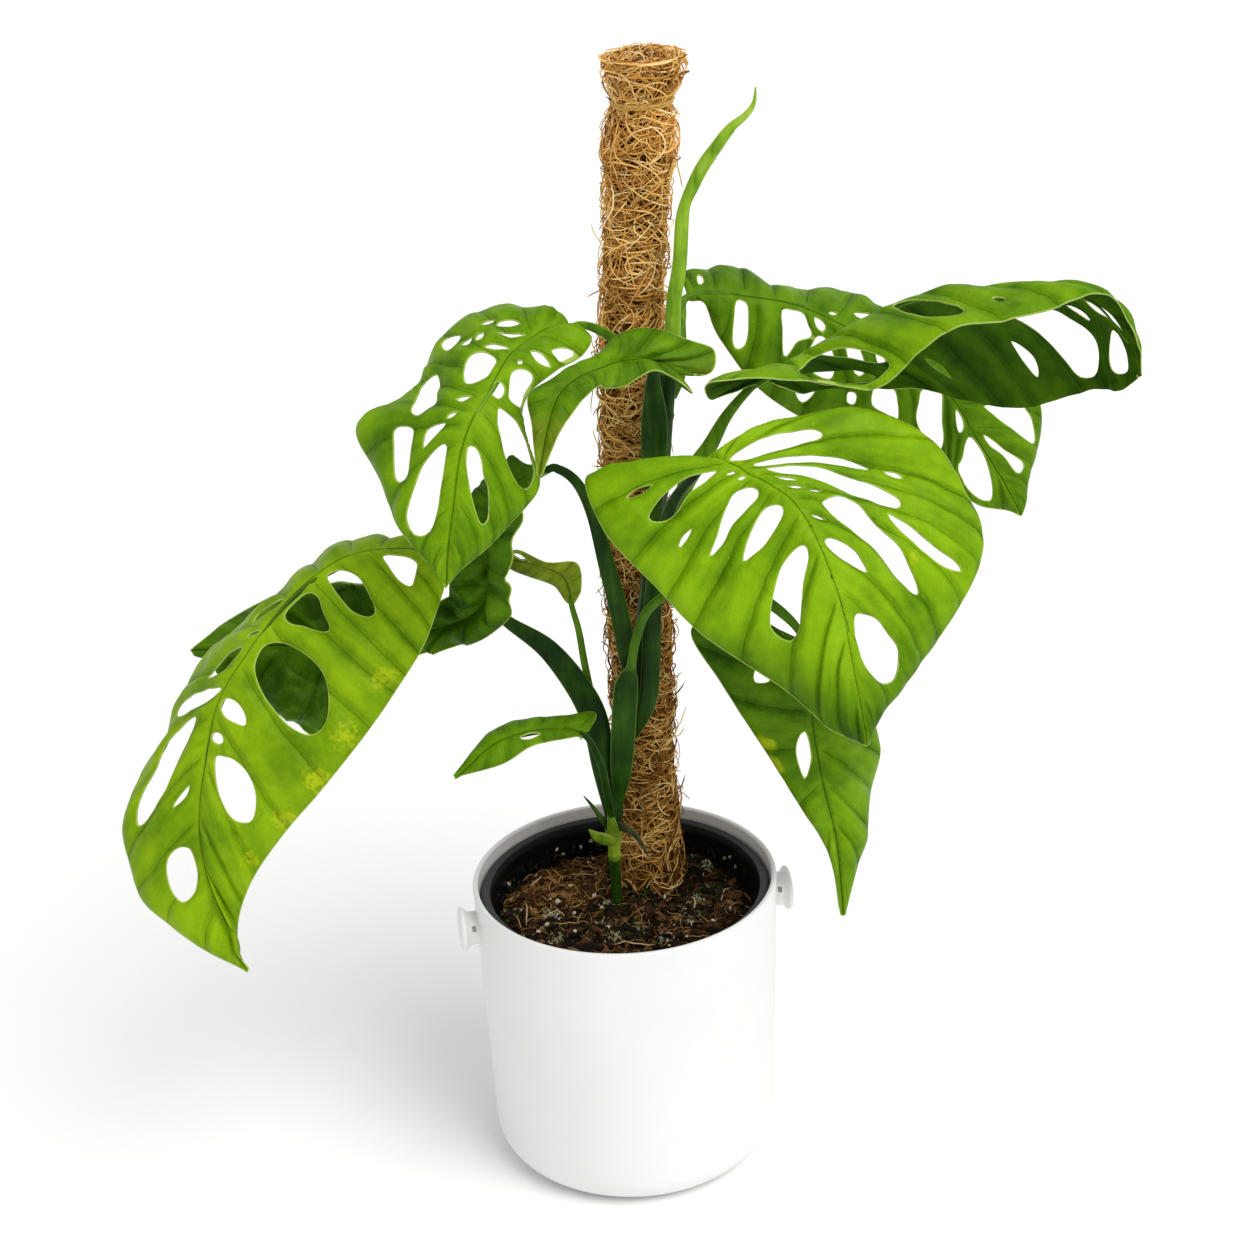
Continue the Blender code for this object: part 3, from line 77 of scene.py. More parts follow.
def arc(centre, radius, start, end, steps):
    """Points along a circular arc, as (radius from the axis, height)."""
    turn = np.radians(np.linspace(start, end, steps + 1))
    return [(centre[0] + radius * math.cos(a), centre[1] + radius * math.sin(a)) for a in turn]


def turned(profile, steps):
    """A profile of (radius, height) in millimetres, turned round the Z axis."""
    bm = bmesh.new()
    verts = [bm.verts.new((radius * MM, 0, height * MM)) for radius, height in profile]
    edges = [bm.edges.new(pair) for pair in zip(verts, verts[1:])]
    bmesh.ops.spin(bm, geom=verts + edges, cent=(0, 0, 0), axis=(0, 0, 1), angle=2 * math.pi,
                   steps=steps, use_merge=True)
    bmesh.ops.remove_doubles(bm, verts=bm.verts[:], dist=0.01 * MM)
    bmesh.ops.recalc_face_normals(bm, faces=bm.faces[:])
    return bm


def piece(name, bm, node, finishes, sharp=50):
    """A finished piece of the plant that stands for a node of the part."""
    mesh = bpy.data.meshes.new(name)
    bm.to_mesh(mesh)
    bm.free()
    mesh.shade_smooth()
    mesh.set_sharp_from_angle(angle=math.radians(sharp))
    obj = bpy.data.objects.new(name, mesh)
    bpy.context.scene.collection.objects.link(obj)
    for finish in finishes:
        mesh.materials.append(finish)
    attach(obj, "root")
    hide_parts(node)
    return obj


def new_finish(name, roughness, **sockets):
    """A material with its shader, set to values that are the same all over the surface."""
    made = bpy.data.materials.new(name)
    made.use_nodes = True
    shader = made.node_tree.nodes["Principled BSDF"]
    shader.inputs["Roughness"].default_value = roughness
    for socket, value in sockets.items():
        shader.inputs[socket.replace("_", " ")].default_value = value
    return made, made.node_tree, shader


def add_node(tree, kind, settings=None, **inputs):
    """A node with its settings and inputs. An input may be a value or another node's output."""
    node = tree.nodes.new("ShaderNode" + kind)
    for key, value in (settings or {}).items():
        setattr(node, key, value)
    for key, value in inputs.items():
        socket = node.inputs[int(key[1:])] if key[0] == "i" and key[1:].isdigit() else node.inputs[key]
        if isinstance(value, bpy.types.NodeSocket):
            tree.links.new(value, socket)
        else:
            socket.default_value = value
    return node


def here(tree):
    """The place on the piece, in its own coordinates."""
    return add_node(tree, "TexCoord").outputs["Object"]


def place_noise(tree, scale, detail=3, stretch=(1, 1, 1), roughness=0.5):
    """Noise over the piece's own coordinates, from 0 to 1."""
    spread = add_node(tree, "Mapping", Vector=here(tree), Scale=stretch).outputs[0]
    return add_node(tree, "TexNoise", Vector=spread, Scale=scale, Detail=detail,
                    Roughness=roughness).outputs["Fac"]


def ramp(tree, value, stops):
    """Colours along a value from 0 to 1."""
    node = add_node(tree, "ValToRGB", i0=value)
    band = node.color_ramp
    while len(band.elements) < len(stops):
        band.elements.new(1)
    for element, (at, colour) in zip(band.elements, stops):
        element.position = at
        element.color = (*colour, 1)
    return node.outputs["Color"]


def span(tree, value, low, high, start=0, end=1):
    """A value's stretch from low to high, smoothed and mapped to another from start to end."""
    return add_node(tree, "MapRange", {"interpolation_type": "SMOOTHSTEP"}, i0=value, i1=low,
                    i2=high, i3=start, i4=end).outputs[0]


def paint(tree, shader, colour):
    tree.links.new(colour, shader.inputs["Base Color"])


def polish(tree, shader, roughness):
    tree.links.new(roughness, shader.inputs["Roughness"])


def relief(tree, shader, height, depth, strength=1):
    """Bump on the shader from a height of 0 to 1, as deep as given in millimetres."""
    bump = add_node(tree, "Bump", Strength=strength, Distance=depth * MM, Height=height)
    tree.links.new(bump.outputs[0], shader.inputs["Normal"])


def pot_white():
    finish, tree, shader = new_finish("pot_white", 0.42, IOR=1.46, Coat_Weight=0.08,
                                      Coat_Roughness=0.25)
    clouds = place_noise(tree, 14, 4)
    paint(tree, shader, ramp(tree, clouds, [(0.3, (0.80, 0.795, 0.78)), (0.7, (0.84, 0.84, 0.83))]))
    polish(tree, shader, span(tree, place_noise(tree, 60, 5), 0.3, 0.7, 0.36, 0.48))
    relief(tree, shader, place_noise(tree, 900, 2), 0.05, 0.35)
    return finish


def add_peg(bm, side):
    """A spool: a shaft out of the pot's wall that flares into a domed flange, with a slot in the shaft."""
    profile = [(0, 10.6), (4, 10.5), (8, 10.1)] + arc((10.9, 8.3), 1.6, 75, -80, 6)
    profile += [(11.1, 6.5)] + arc((12.2, 4.0), 2.7, 118, 180, 5) + [(9.3, 1.2), (10, -2.5), (0, -2.5)]
    peg = turned(profile, 48)
    shaft = []
    for face in peg.faces:
        x, y, z = face.calc_center_median()
        in_band = y > 0 and abs(z - SLOT_OUT * MM) < SLOT_HALF * MM
        if in_band and abs(math.atan2(x, y) - SLOT_TURN) < SLOT_SPREAD:
            shaft.append(face)
    bmesh.ops.inset_region(peg, faces=shaft, thickness=SLOT_RIM * MM, use_even_offset=True)
    sunk = bmesh.ops.extrude_face_region(peg, geom=shaft)
    floor = [v for v in sunk["geom"] if isinstance(v, bmesh.types.BMVert)]
    inward = Vector((-math.sin(SLOT_TURN), -math.cos(SLOT_TURN), 0)) * SLOT_DEPTH * MM
    bmesh.ops.translate(peg, vec=inward, verts=floor)
    bmesh.ops.delete(peg, geom=shaft, context="FACES")
    outward = Vector((side * math.cos(PEG_TURN), side * math.sin(PEG_TURN), 0))
    front = Vector((math.sin(PEG_TURN), -math.cos(PEG_TURN), 0))
    place = Matrix((Vector((0, 0, 1)), front, outward)).transposed().to_4x4()
    wall = POT_FOOT + (POT_RIM - POT_FOOT) * PEG_HEIGHT / POT_HEIGHT
    place.translation = (outward * wall + Vector((0, 0, PEG_HEIGHT))) * MM
    bmesh.ops.transform(peg, matrix=place, verts=peg.verts[:])
    bmesh.ops.recalc_face_normals(peg, faces=peg.faces[:])
    made = bpy.data.meshes.new("peg")
    peg.to_mesh(made)
    peg.free()
    bm.from_mesh(made)
    bpy.data.meshes.remove(made)


def pot_profile():
    """From the lip's inner edge over the slightly hollow outside to the foot, and back up the inside."""
    lip = POT_WALL / 2
    inner = POT_FILLET - POT_WALL
    foot = POT_FOOT + (POT_RIM - POT_FOOT) * POT_FILLET / POT_HEIGHT
    points = arc((POT_RIM - lip, POT_HEIGHT - lip), lip, 180, 0, 10)
    points += [(POT_RIM - 0.35, POT_HEIGHT - 8), (POT_RIM - 1.6, POT_HEIGHT * 0.66), (POT_RIM - 3.2, 60)]
    points += arc((foot - POT_FILLET, POT_FILLET), POT_FILLET, 0, -90, 14)
    points += [(POT_FOOT - POT_FILLET - 8, 0), (POT_FOOT - POT_FILLET - 10, 0.8), (0, 0.8), (0, POT_WALL)]
    points += arc((foot - POT_WALL - inner, POT_WALL + inner), inner, -90, 0, 8)
    return points + points[:1]


cover_pot = turned(pot_profile(), 144)
add_peg(cover_pot, -1)
add_peg(cover_pot, 1)
piece("cover_pot_shell", cover_pot, "cover_pot", [pot_white()], 40)


# Nursery pot: the grower's thin black plastic pot, standing inside the cover pot. Its rolled rim
# lies just below the cover pot's lip, and splashes of soil and water have dried on its wall.

NURSERY_RIM, NURSERY_TOP, NURSERY_FOOT = 80.5, 165, 58
# Heights of the rolled rim's lower edge, of the wall's bend below it and of the floor's two sides.
RIM_LOW, WALL_BEND, FLOOR_UNDER, FLOOR_OVER = 157.2, 150, 3.3, 4.9
RIM_ROLL = 1.4


def blend(tree, amount, first, second):
    """One colour over another by an amount."""
    node = add_node(tree, "Mix", {"data_type": "RGBA", "clamp_result": True},
                    i0=amount, i6=first, i7=second)
    return node.outputs[2]


def math_of(tree, operation, *values):
    inputs = {f"i{k}": value for k, value in enumerate(values)}
    return add_node(tree, "Math", {"operation": operation}, **inputs).outputs[0]


def sum_of(tree, first, second):
    return math_of(tree, "ADD", first, second)


def less(tree, first, second):
    return math_of(tree, "SUBTRACT", first, second)


def times(tree, first, second):
    return math_of(tree, "MULTIPLY", first, second)


def height_of(tree):
    """The place's height above the floor, in metres."""
    return add_node(tree, "SeparateXYZ", i0=here(tree)).outputs[2]


def pot_black():
    finish, tree, shader = new_finish("pot_black", 0.4, IOR=1.47, Specular_IOR_Level=0.3)
    height = height_of(tree)
    low = span(tree, height, 0.158, 0.143)
    specks = times(tree, span(tree, place_noise(tree, 420, 4, roughness=0.7), 0.56, 0.66), low)
    dust = sum_of(tree, span(tree, place_noise(tree, 40, 5), 0.45, 0.75, 0, 0.02), specks)
    # The rolled rim's top is painted a lighter grey than the wall: a painted sheen.
    rim = span(tree, height, 0.1585, 0.162)
    rim_painted_sheen = blend(tree, rim, (0.0025, 0.0035, 0.005, 1), (0.022, 0.024, 0.027, 1))
    paint(tree, shader, blend(tree, dust, rim_painted_sheen, (0.16, 0.13, 0.09, 1)))
    polish(tree, shader, span(tree, dust, 0, 0.6, 0.34, 0.8))
    relief(tree, shader, place_noise(tree, 500, 3), 0.08, 0.4)
    return finish


def nursery_profile():
    inner = NURSERY_RIM - 5
    points = arc((inner + RIM_ROLL, NURSERY_TOP - RIM_ROLL), RIM_ROLL, 180, 90, 5)
    points += arc((NURSERY_RIM - RIM_ROLL, NURSERY_TOP - RIM_ROLL), RIM_ROLL, 90, 0, 5)
    points += [(NURSERY_RIM, RIM_LOW), (NURSERY_RIM - 1.2, RIM_LOW - 0.2), (inner + RIM_ROLL, RIM_LOW)]
    points += [(inner + 1.1, WALL_BEND), (NURSERY_FOOT + 1.5, 10), (NURSERY_FOOT - 4, FLOOR_UNDER)]
    points += [(0, FLOOR_UNDER), (0, FLOOR_OVER), (NURSERY_FOOT - 5.6, FLOOR_OVER)]
    points += [(NURSERY_FOOT, 10), (inner - 0.5, WALL_BEND)]
    return points + points[:1]


piece("nursery_pot_shell", turned(nursery_profile(), 128), "nursery_pot", [pot_black()], 40)


# Soil: bark compost filled up to 2 cm below the pot's rim and heaped a little round the pole.
# Bark chips, crumbs, coir fibres, grains of perlite and tufts of moss lie loose on top.

SOIL_LEVEL, SOIL_RADIUS = 143, 73
POLE_FOOT, STEM_FOOT = (15, 31), (-5, 10)
POLE_HEAP, POLE_HEAP_SPREAD = 5, 34
# Towards the pot's wall the surface calms and sinks a little, over this stretch of radius.
CALM_FROM, CALM_OVER = 62, 11
# How many chips, crumbs, grains, fibres and roots lie on the soil, and how many clods lie on each
# clump and golden fibres on each heap.
CHIPS, CRUMBS, GRAINS, FIBRES, ROOTS, CLODS_EACH, GOLDEN_EACH = 430, 1900, 34, 900, 26, 9, 130
# Each heap and clump: where it lies, how far it spreads and how high it stands, in millimetres.
FIBROUS_HEAPS = ((-54, 20, 14, 6), (-38, 42, 13, 5.5), (-28, 20, 9, 4), (-12, 40, 8, 3))
MOSSY_CLUMPS = ((-9, 2, 6, 3.5), (-15, -20, 8, 4), (36, -2, 8, 5), (43, 44, 8, 6), (-66, 2, 5, 3),
                (2, -24, 7, 3.5), (50, 16, 6, 3), (10, 11, 6, 2.5), (-42, -12, 7, 3))


def soil_height(x, y):
    """Height of the soil's surface, in millimetres."""
    rough = noise.noise((x * 0.06, y * 0.06, 0)) * 3 + noise.noise((x * 0.19, y * 0.19, 5)) * 2
    heap = POLE_HEAP * math.exp(-math.dist((x, y), POLE_FOOT) ** 2 / POLE_HEAP_SPREAD ** 2)
    for east, north, spread, tall in FIBROUS_HEAPS + MOSSY_CLUMPS:
        heap += tall * math.exp(-(math.dist((x, y), (east, north)) / spread) ** 2)
    rim = min(1, max(0, (math.hypot(x, y) - CALM_FROM) / CALM_OVER))
    return SOIL_LEVEL + (rough + heap) * (1 - 0.7 * rim) - 1.5 * rim + 1.2


def fibrous(x, y):
    """How much of the mix at a spot is golden fibre: 1 on the heaps, 0 away from them."""
    return min(1, sum(math.exp(-(math.dist((x, y), heap[:2]) / heap[2]) ** 2) for heap in FIBROUS_HEAPS))


def mark(tree, name):
    """A number that each point of the piece carries."""
    return add_node(tree, "Attribute", {"attribute_name": name}).outputs["Fac"]


def soil_brown():
    finish, tree, shader = new_finish("soil_brown", 0.92, Specular_IOR_Level=0.1)
    tint = mark(tree, "tint")
    grain = sum_of(tree, place_noise(tree, 160, 5, roughness=0.65), less(tree, tint, 0.5))
    paint(tree, shader, ramp(tree, grain, [(0.2, (0.004, 0.0025, 0.001)), (0.42, (0.014, 0.007, 0.0025)),
                                           (0.6, (0.04, 0.02, 0.007)), (0.85, (0.14, 0.075, 0.025))]))
    relief(tree, shader, place_noise(tree, 700, 6, roughness=0.7), 0.8, 0.9)
    return finish


def bark_brown():
    finish, tree, shader = new_finish("bark_brown", 0.85, Specular_IOR_Level=0.15)
    tint = mark(tree, "tint")
    grain = place_noise(tree, 380, 4, roughness=0.65)
    mixed = sum_of(tree, less(tree, grain, 0.5), tint)
    paint(tree, shader, ramp(tree, mixed, [(0.05, (0.004, 0.0025, 0.0015)), (0.3, (0.015, 0.0065, 0.003)),
                                           (0.5, (0.045, 0.018, 0.006)), (0.7, (0.11, 0.047, 0.014)),
                                           (0.9, (0.3, 0.16, 0.06))]))
    relief(tree, shader, grain, 0.5, 0.8)
    return finish


def fibre_finish(name, stops, roughness):
    """Strands that differ in colour from one to the next and a little along their length."""
    finish, tree, shader = new_finish(name, roughness, Specular_IOR_Level=0.05)
    tint = mark(tree, "tint")
    along = times(tree, less(tree, place_noise(tree, 230, 3), 0.5), 0.5)
    paint(tree, shader, ramp(tree, sum_of(tree, tint, along), stops))
    return finish


def strands(name, lines, radius, node, finish):
    """Many thin strands as one mesh. Each has a tint of its own from 0 to 1 and ends in a point."""
    curve = bpy.data.curves.new(name, "CURVE")
    curve.dimensions = "3D"
    curve.bevel_depth = radius * MM
    curve.bevel_resolution = 0
    for line in lines:
        strand = curve.splines.new("POLY")
        strand.points.add(len(line) - 1)
        flat = np.ones((len(line), 4))
        flat[:, :3] = np.asarray(line) * MM
        strand.points.foreach_set("co", flat.ravel())
        taper = [0.35] + [rng.uniform(0.75, 1.25)] * (len(line) - 2) + [0.3]
        strand.points.foreach_set("radius", taper)
    shape = bpy.data.objects.new(name, curve)
    mesh = bpy.data.meshes.new_from_object(shape)
    bpy.data.objects.remove(shape)
    bm = bmesh.new()
    bm.from_mesh(mesh)
    bpy.data.meshes.remove(mesh)
    around = len(bm.verts) // sum(len(line) for line in lines)
    tint = bm.verts.layers.float.new("tint")
    bm.verts.ensure_lookup_table()
    index = 0
    for line in lines:
        colour = rng.random()
        for _ in range(len(line) * around):
            bm.verts[index][tint] = colour
            index += 1
    return piece(name, bm, node, [finish])


def scatter(inner, outer, gap):
    """A random spot on the soil, clear of the pole and the stem."""
    while True:
        radius = math.sqrt(rng.uniform(inner ** 2, outer ** 2))
        turn = rng.uniform(0, 2 * math.pi)
        x, y = radius * math.cos(turn), radius * math.sin(turn)
        if math.dist((x, y), POLE_FOOT) > 18 + gap and math.dist((x, y), STEM_FOOT) > 5 + gap:
            return x, y


def add_chip(bm, tint, colour, spot, size, lift):
    """One rough chip of bark, or a crumb."""
    turn = Matrix.Rotation(rng.uniform(0, 2 * math.pi), 4, "Z")
    tilt = Matrix.Rotation(rng.gauss(0, 0.35), 4, "X") @ Matrix.Rotation(rng.gauss(0, 0.3), 4, "Y")
    place = Matrix.Translation(Vector((*spot, soil_height(*spot) + lift)) * MM)
    made = bmesh.ops.create_icosphere(bm, subdivisions=1, radius=MM, matrix=Matrix.Diagonal((*size, 1)))
    for vert in made["verts"]:
        vert.co *= rng.uniform(0.7, 1.15)
        vert[tint] = 0.82 * colour + 0.3 * fibrous(*spot)
    bmesh.ops.transform(bm, matrix=place @ turn @ tilt, verts=made["verts"])


SOIL_UNDERSIDE = [(SOIL_RADIUS - 0.5, 137), (56.5, 7), (52, 5.3), (0, 5.3)]
rng = random.Random(41)
soil = turned([(0, SOIL_LEVEL)] + [(r, SOIL_LEVEL) for r in np.linspace(1.5, SOIL_RADIUS, 48)]
              + SOIL_UNDERSIDE, 160)
tint = soil.verts.layers.float.new("tint")
for vert in soil.verts:
    vert[tint] = 0.5
    if vert.co.z > (SOIL_LEVEL - 0.1) * MM:
        x, y = vert.co.x / MM, vert.co.y / MM
        vert.co.z = soil_height(x, y) * MM
        vert[tint] = 0.36 + 0.2 * noise.noise((x * 0.05, y * 0.05, 9)) + 0.25 * fibrous(x, y)
piece("soil_bed", soil, "soil", [soil_brown()], 80)

chips = bmesh.new()
tint = chips.verts.layers.float.new("tint")
for _ in range(CHIPS):
    length = rng.uniform(2.4, 7)
    size = (length, length * rng.uniform(0.3, 0.55), rng.uniform(0.7, 1.7))
    add_chip(chips, tint, rng.betavariate(2, 2), scatter(0, 67, 2), size, rng.uniform(0, 1.6))
for _ in range(CRUMBS):
    size = [rng.uniform(0.5, 1.7) for _ in range(3)]
    add_chip(chips, tint, rng.betavariate(2, 2.4), scatter(0, 71, 0), size, rng.uniform(-0.2, 0.7))
for east, north, spread, _ in MOSSY_CLUMPS:
    for _ in range(CLODS_EACH):
        spot = (east + rng.gauss(0, spread * 0.5), north + rng.gauss(0, spread * 0.5))
        size = [rng.uniform(1.6, 3.6) for _ in range(3)]
        add_chip(chips, tint, rng.uniform(0.05, 0.4), spot, size, rng.uniform(0, 1.2))
piece("soil_bark_chips", chips, "soil", [bark_brown()], 25)


def grained(name, roughness, grain, stops, bump=None, **sockets):
    """A material coloured along a noise, and raised by it if it has a bump.

    The grain is the noise's scale, detail, stretch and roughness, the bump its depth and strength.
    """
    finish, tree, shader = new_finish(name, roughness, **sockets)
    pattern = place_noise(tree, *grain)
    paint(tree, shader, ramp(tree, pattern, stops))
    if bump:
        relief(tree, shader, pattern, *bump)
    return finish


perlite_white = grained("perlite_white", 0.8, (300, 4),
                        [(0.3, (0.3, 0.24, 0.15)), (0.6, (0.62, 0.56, 0.44))], (0.5, 0.6))
grains = bmesh.new()
tint = grains.verts.layers.float.new("tint")
for _ in range(GRAINS):
    size = [rng.uniform(0.7, 2.1) for _ in range(3)]
    add_chip(grains, tint, 0.5, scatter(10, 69, 1), size, rng.uniform(0.8, 1.8))
# Grains that stuck to the nursery pot's wall: how far round it, in degrees, and how high above the soil.
WALL_SPLASHES = ((105, 10), (110, 7.5), (119, 6), (122, 10.5), (38, 9), (34, 12), (30, 8), (155, 7),
                 (62, 5))
WALL_RADIUS = 73.6
for turn, rise in WALL_SPLASHES:
    spot = (WALL_RADIUS * math.cos(math.radians(turn)), WALL_RADIUS * math.sin(math.radians(turn)))
    size = [rng.uniform(0.7, 1.5) for _ in range(3)]
    add_chip(grains, tint, 0.5, spot, size, SOIL_LEVEL + rise - soil_height(*spot))
piece("soil_perlite", grains, "soil", [perlite_white], 35)


FIBRE_REACH = 71.5


def lying_fibre(spot, length, rise, points=7):
    """A curved fibre that lies on the soil."""
    turn, bend = rng.uniform(0, 2 * math.pi), rng.gauss(0, 1.3)
    x, y = spot
    line = []
    for step in range(points):
        share = step / (points - 1)
        if math.hypot(x, y) > FIBRE_REACH:
            x, y = x * FIBRE_REACH / math.hypot(x, y), y * FIBRE_REACH / math.hypot(x, y)
        line.append((x, y, soil_height(x, y) + 0.3 + rise * math.sin(math.pi * share)))
        x += math.cos(turn) * length / (points - 1)
        y += math.sin(turn) * length / (points - 1)
        turn += bend / (points - 1)
    return line


rooty = [lying_fibre(scatter(0, 69, 1), rng.uniform(5, 17), rng.uniform(0.2, 2.4)) for _ in range(FIBRES)]
strands("soil_fibres", rooty, 0.22, "soil",
        fibre_finish("soil_fibre", [(0.1, (0.01, 0.005, 0.002)), (0.45, (0.06, 0.027, 0.008)),
                                    (0.75, (0.24, 0.12, 0.03)), (0.95, (0.5, 0.33, 0.14))], 0.85))
golden = []
for east, north, spread, _ in FIBROUS_HEAPS:
    for _ in range(GOLDEN_EACH):
        spot = (east + rng.gauss(0, spread * 0.6), north + rng.gauss(0, spread * 0.6))
        golden.append(lying_fibre(spot, rng.uniform(4, 15), rng.uniform(0.3, 3)))
strands("soil_golden_fibres", golden, 0.3, "soil",
        fibre_finish("golden_fibre", [(0.1, (0.02, 0.009, 0.002)), (0.45, (0.085, 0.038, 0.007)),
                                      (0.75, (0.22, 0.11, 0.025)), (0.95, (0.5, 0.3, 0.09))], 0.85))
pale = [lying_fibre(scatter(25, 68, 1), rng.uniform(10, 26), rng.uniform(0.8, 3)) for _ in range(ROOTS)]
strands("soil_roots", pale, 0.4, "soil",
        fibre_finish("pale_root", [(0.2, (0.35, 0.22, 0.1)), (0.8, (0.65, 0.5, 0.32))], 0.7))


def tuft(centre, spread, count, height):
    """Short upright shoots, close together."""
    lines = []
    for _ in range(count):
        x, y = centre[0] + rng.gauss(0, spread), centre[1] + rng.gauss(0, spread)
        lean = (rng.gauss(0, 0.5) * height, rng.gauss(0, 0.5) * height)
        tall = height * rng.uniform(0.5, 1.2)
        base = soil_height(x, y)
        lines.append([(x + lean[0] * s * s, y + lean[1] * s * s, base + tall * s * (1.3 - 0.3 * s))
                      for s in (0, 0.35, 0.7, 1)])
    return lines


moss = []
for east, north, spread, _ in MOSSY_CLUMPS:
    moss += tuft((east, north), spread * 0.7, 150, 2.2)
strands("soil_moss", moss, 0.34, "soil",
        fibre_finish("moss_green", [(0.1, (0.006, 0.014, 0.003)), (0.5, (0.022, 0.042, 0.007)),
                                    (0.9, (0.085, 0.11, 0.02))], 0.8))
LICHEN_SPOTS = ((-10, 5), (-12, -14), (34, -4), (41, 7), (41, 47), (48, 40), (-43, 2), (4, -20),
                (20, -30), (-8, -30), (-40, -22), (36, -12), (-66, 6))
lichen = []
for centre in LICHEN_SPOTS:
    lichen += tuft(centre, 2.3, 42, 2.4)
strands("soil_lichen", lichen, 0.4, "soil",
        fibre_finish("lichen_cream", [(0.1, (0.05, 0.06, 0.025)), (0.5, (0.2, 0.2, 0.1)),
                                      (0.9, (0.6, 0.57, 0.4))], 0.8))


# Pole core: the round wooden stake inside the coir. It is pushed deep into the soil and ends a
# little below the top of the wrap, so that only its end grain can be seen.

POLE_LINE = [(15, 31, 20), (15, 31, 145), (15, 31, 220), (15, 31, 300), (15, 31, 383),
             (17, 31, 440), (20, 31, 506), (25, 31, 565), (30, 31, 628)]
CORE_RADIUS, CORE_TOP = 10.5, (29, 31, 613)


def spline(points, places):
    """Points on the smooth curve that passes the given points at the whole numbers 0, 1, 2 and on."""
    points = np.asarray(points, float)
    last = len(points) - 1
    guide = np.vstack([2 * points[0] - points[1], points, 2 * points[-1] - points[-2]])
    places = np.clip(np.asarray(places, float), 0, last)
    start = np.minimum(places.astype(int), last - 1)
    f = (places - start)[..., None]
    a, b, c, d = (guide[start + k] for k in range(4))
    return 0.5 * (2 * b + (c - a) * f + (2 * a - 5 * b + 4 * c - d) * f ** 2
                  + (3 * b - a - 3 * c + d) * f ** 3)


def loft(line, sizes, sides, shape=None, step=2.2):
    """A closed tube along a smooth line through points, with an elliptical section.

    Its width starts out across +Y and turns with the line. Each vertex keeps how far it lies
    along the line and out to the side. The shape may move a section's vertices.
    """
    line = np.asarray(line, float)
    sizes = np.asarray(sizes, float)
    length = np.linalg.norm(np.diff(line, axis=0), axis=1).sum()
    places = np.linspace(0, len(line) - 1, max(len(line), int(length / step)) + 1)
    centres = spline(line, places)
    ahead = spline(line, places + 0.05) - spline(line, places - 0.05)
    wide = spline(sizes, places)
    bm = bmesh.new()
    side_mark = bm.verts.layers.float.new("out")
    along_mark = bm.verts.layers.float.new("along")
    across = Vector(ahead[0]).cross(Vector((0, 1, 0)))
    loops = []
    travelled = np.concatenate([[0], np.cumsum(np.linalg.norm(np.diff(centres, axis=0), axis=1))])
    for centre, direction, size, run in zip(centres, ahead, wide, travelled):
        direction = Vector(direction).normalized()
        across = (across - direction * direction.dot(across)).normalized()
        turn = Matrix((across, direction.cross(across), direction)).transposed().to_4x4()
        made = bmesh.ops.create_circle(bm, segments=sides, radius=1)
        for vert in made["verts"]:
            vert[side_mark] = vert.co.x
            vert[along_mark] = run
            vert.co = Vector((vert.co.x * size[0], vert.co.y * size[1], 0))
            if shape:
                vert.co = shape(vert.co, size, run / travelled[-1])
        place = Matrix.Translation(Vector(centre))
        bmesh.ops.transform(bm, matrix=Matrix.Scale(MM, 4) @ place @ turn, verts=made["verts"])
        loops.append(made["verts"])
    for low, high in zip(loops, loops[1:]):
        edges = list({edge for vert in low + high for edge in vert.link_edges if len(edge.link_faces) < 2})
        edges = [e for e in edges if all(v in low for v in e.verts) or all(v in high for v in e.verts)]
        bmesh.ops.bridge_loops(bm, edges=edges)
    for end in (loops[0], loops[-1]):
        cap = bmesh.ops.contextual_create(bm, geom=end)["faces"]
        bmesh.ops.triangulate(bm, faces=cap)
    bmesh.ops.recalc_face_normals(bm, faces=bm.faces[:])
    return bm


core_wood = grained("core_wood", 0.75, (90, 5, (6, 6, 0.4)),
                    [(0.3, (0.2, 0.11, 0.05)), (0.55, (0.42, 0.27, 0.14)), (0.75, (0.55, 0.39, 0.22))],
                    (0.4, 0.5))
core = loft(POLE_LINE[:-1] + [CORE_TOP], [(CORE_RADIUS, CORE_RADIUS)] * len(POLE_LINE), 32, step=12)
piece("pole_core_wood", core, "pole_core", [core_wood], 50)


# Coir wrap: a mat of brown coconut fibre rolled round the stake and held by the twine. Loose loops
# and ends of fibre stand out all over it, and its open top frays.

COIR_RADIUS, COIR_TOP, TIE_HEIGHT = 15.6, 620, 599
# Where the sleeve starts, deep in the soil, and where its loose fibres start. The fibres are in two
# pieces, split between a lowest and a highest place for each.
SLEEVE_FOOT, SLEEVE_TOP, FIBRES_FOOT = 60, COIR_TOP - 3, 146
LOW_FIBRES, HIGH_FIBRES, FIBRES_EACH, FRAYED = (FIBRES_FOOT, 395), (380, 626), 2500, 300


def pole_points(heights):
    """The pole's centres at some heights."""
    line = np.asarray(POLE_LINE, float)
    return spline(line, np.interp(heights, line[:, 2], np.arange(len(line))))


def coir_radius(heights):
    """The sleeve is waisted by the twine and flares above it."""
    flare = 2.5 * np.sqrt(np.clip((heights - TIE_HEIGHT) / (COIR_TOP - TIE_HEIGHT), 0, 1))
    waist = 1.6 * np.exp(-((heights - TIE_HEIGHT) / 7) ** 2)
    slump = 0.8 * np.sin(heights * 0.045) + 0.5 * np.sin(heights * 0.12 + 2)
    return COIR_RADIUS + flare - waist + slump


def coir_points(heights, turns, rises):
    """Points round the pole at some heights, turns and heights above the sleeve."""
    centre = pole_points(heights)
    radius = coir_radius(heights) + rises
    return centre + np.column_stack([radius * np.cos(turns), radius * np.sin(turns), 0 * turns])


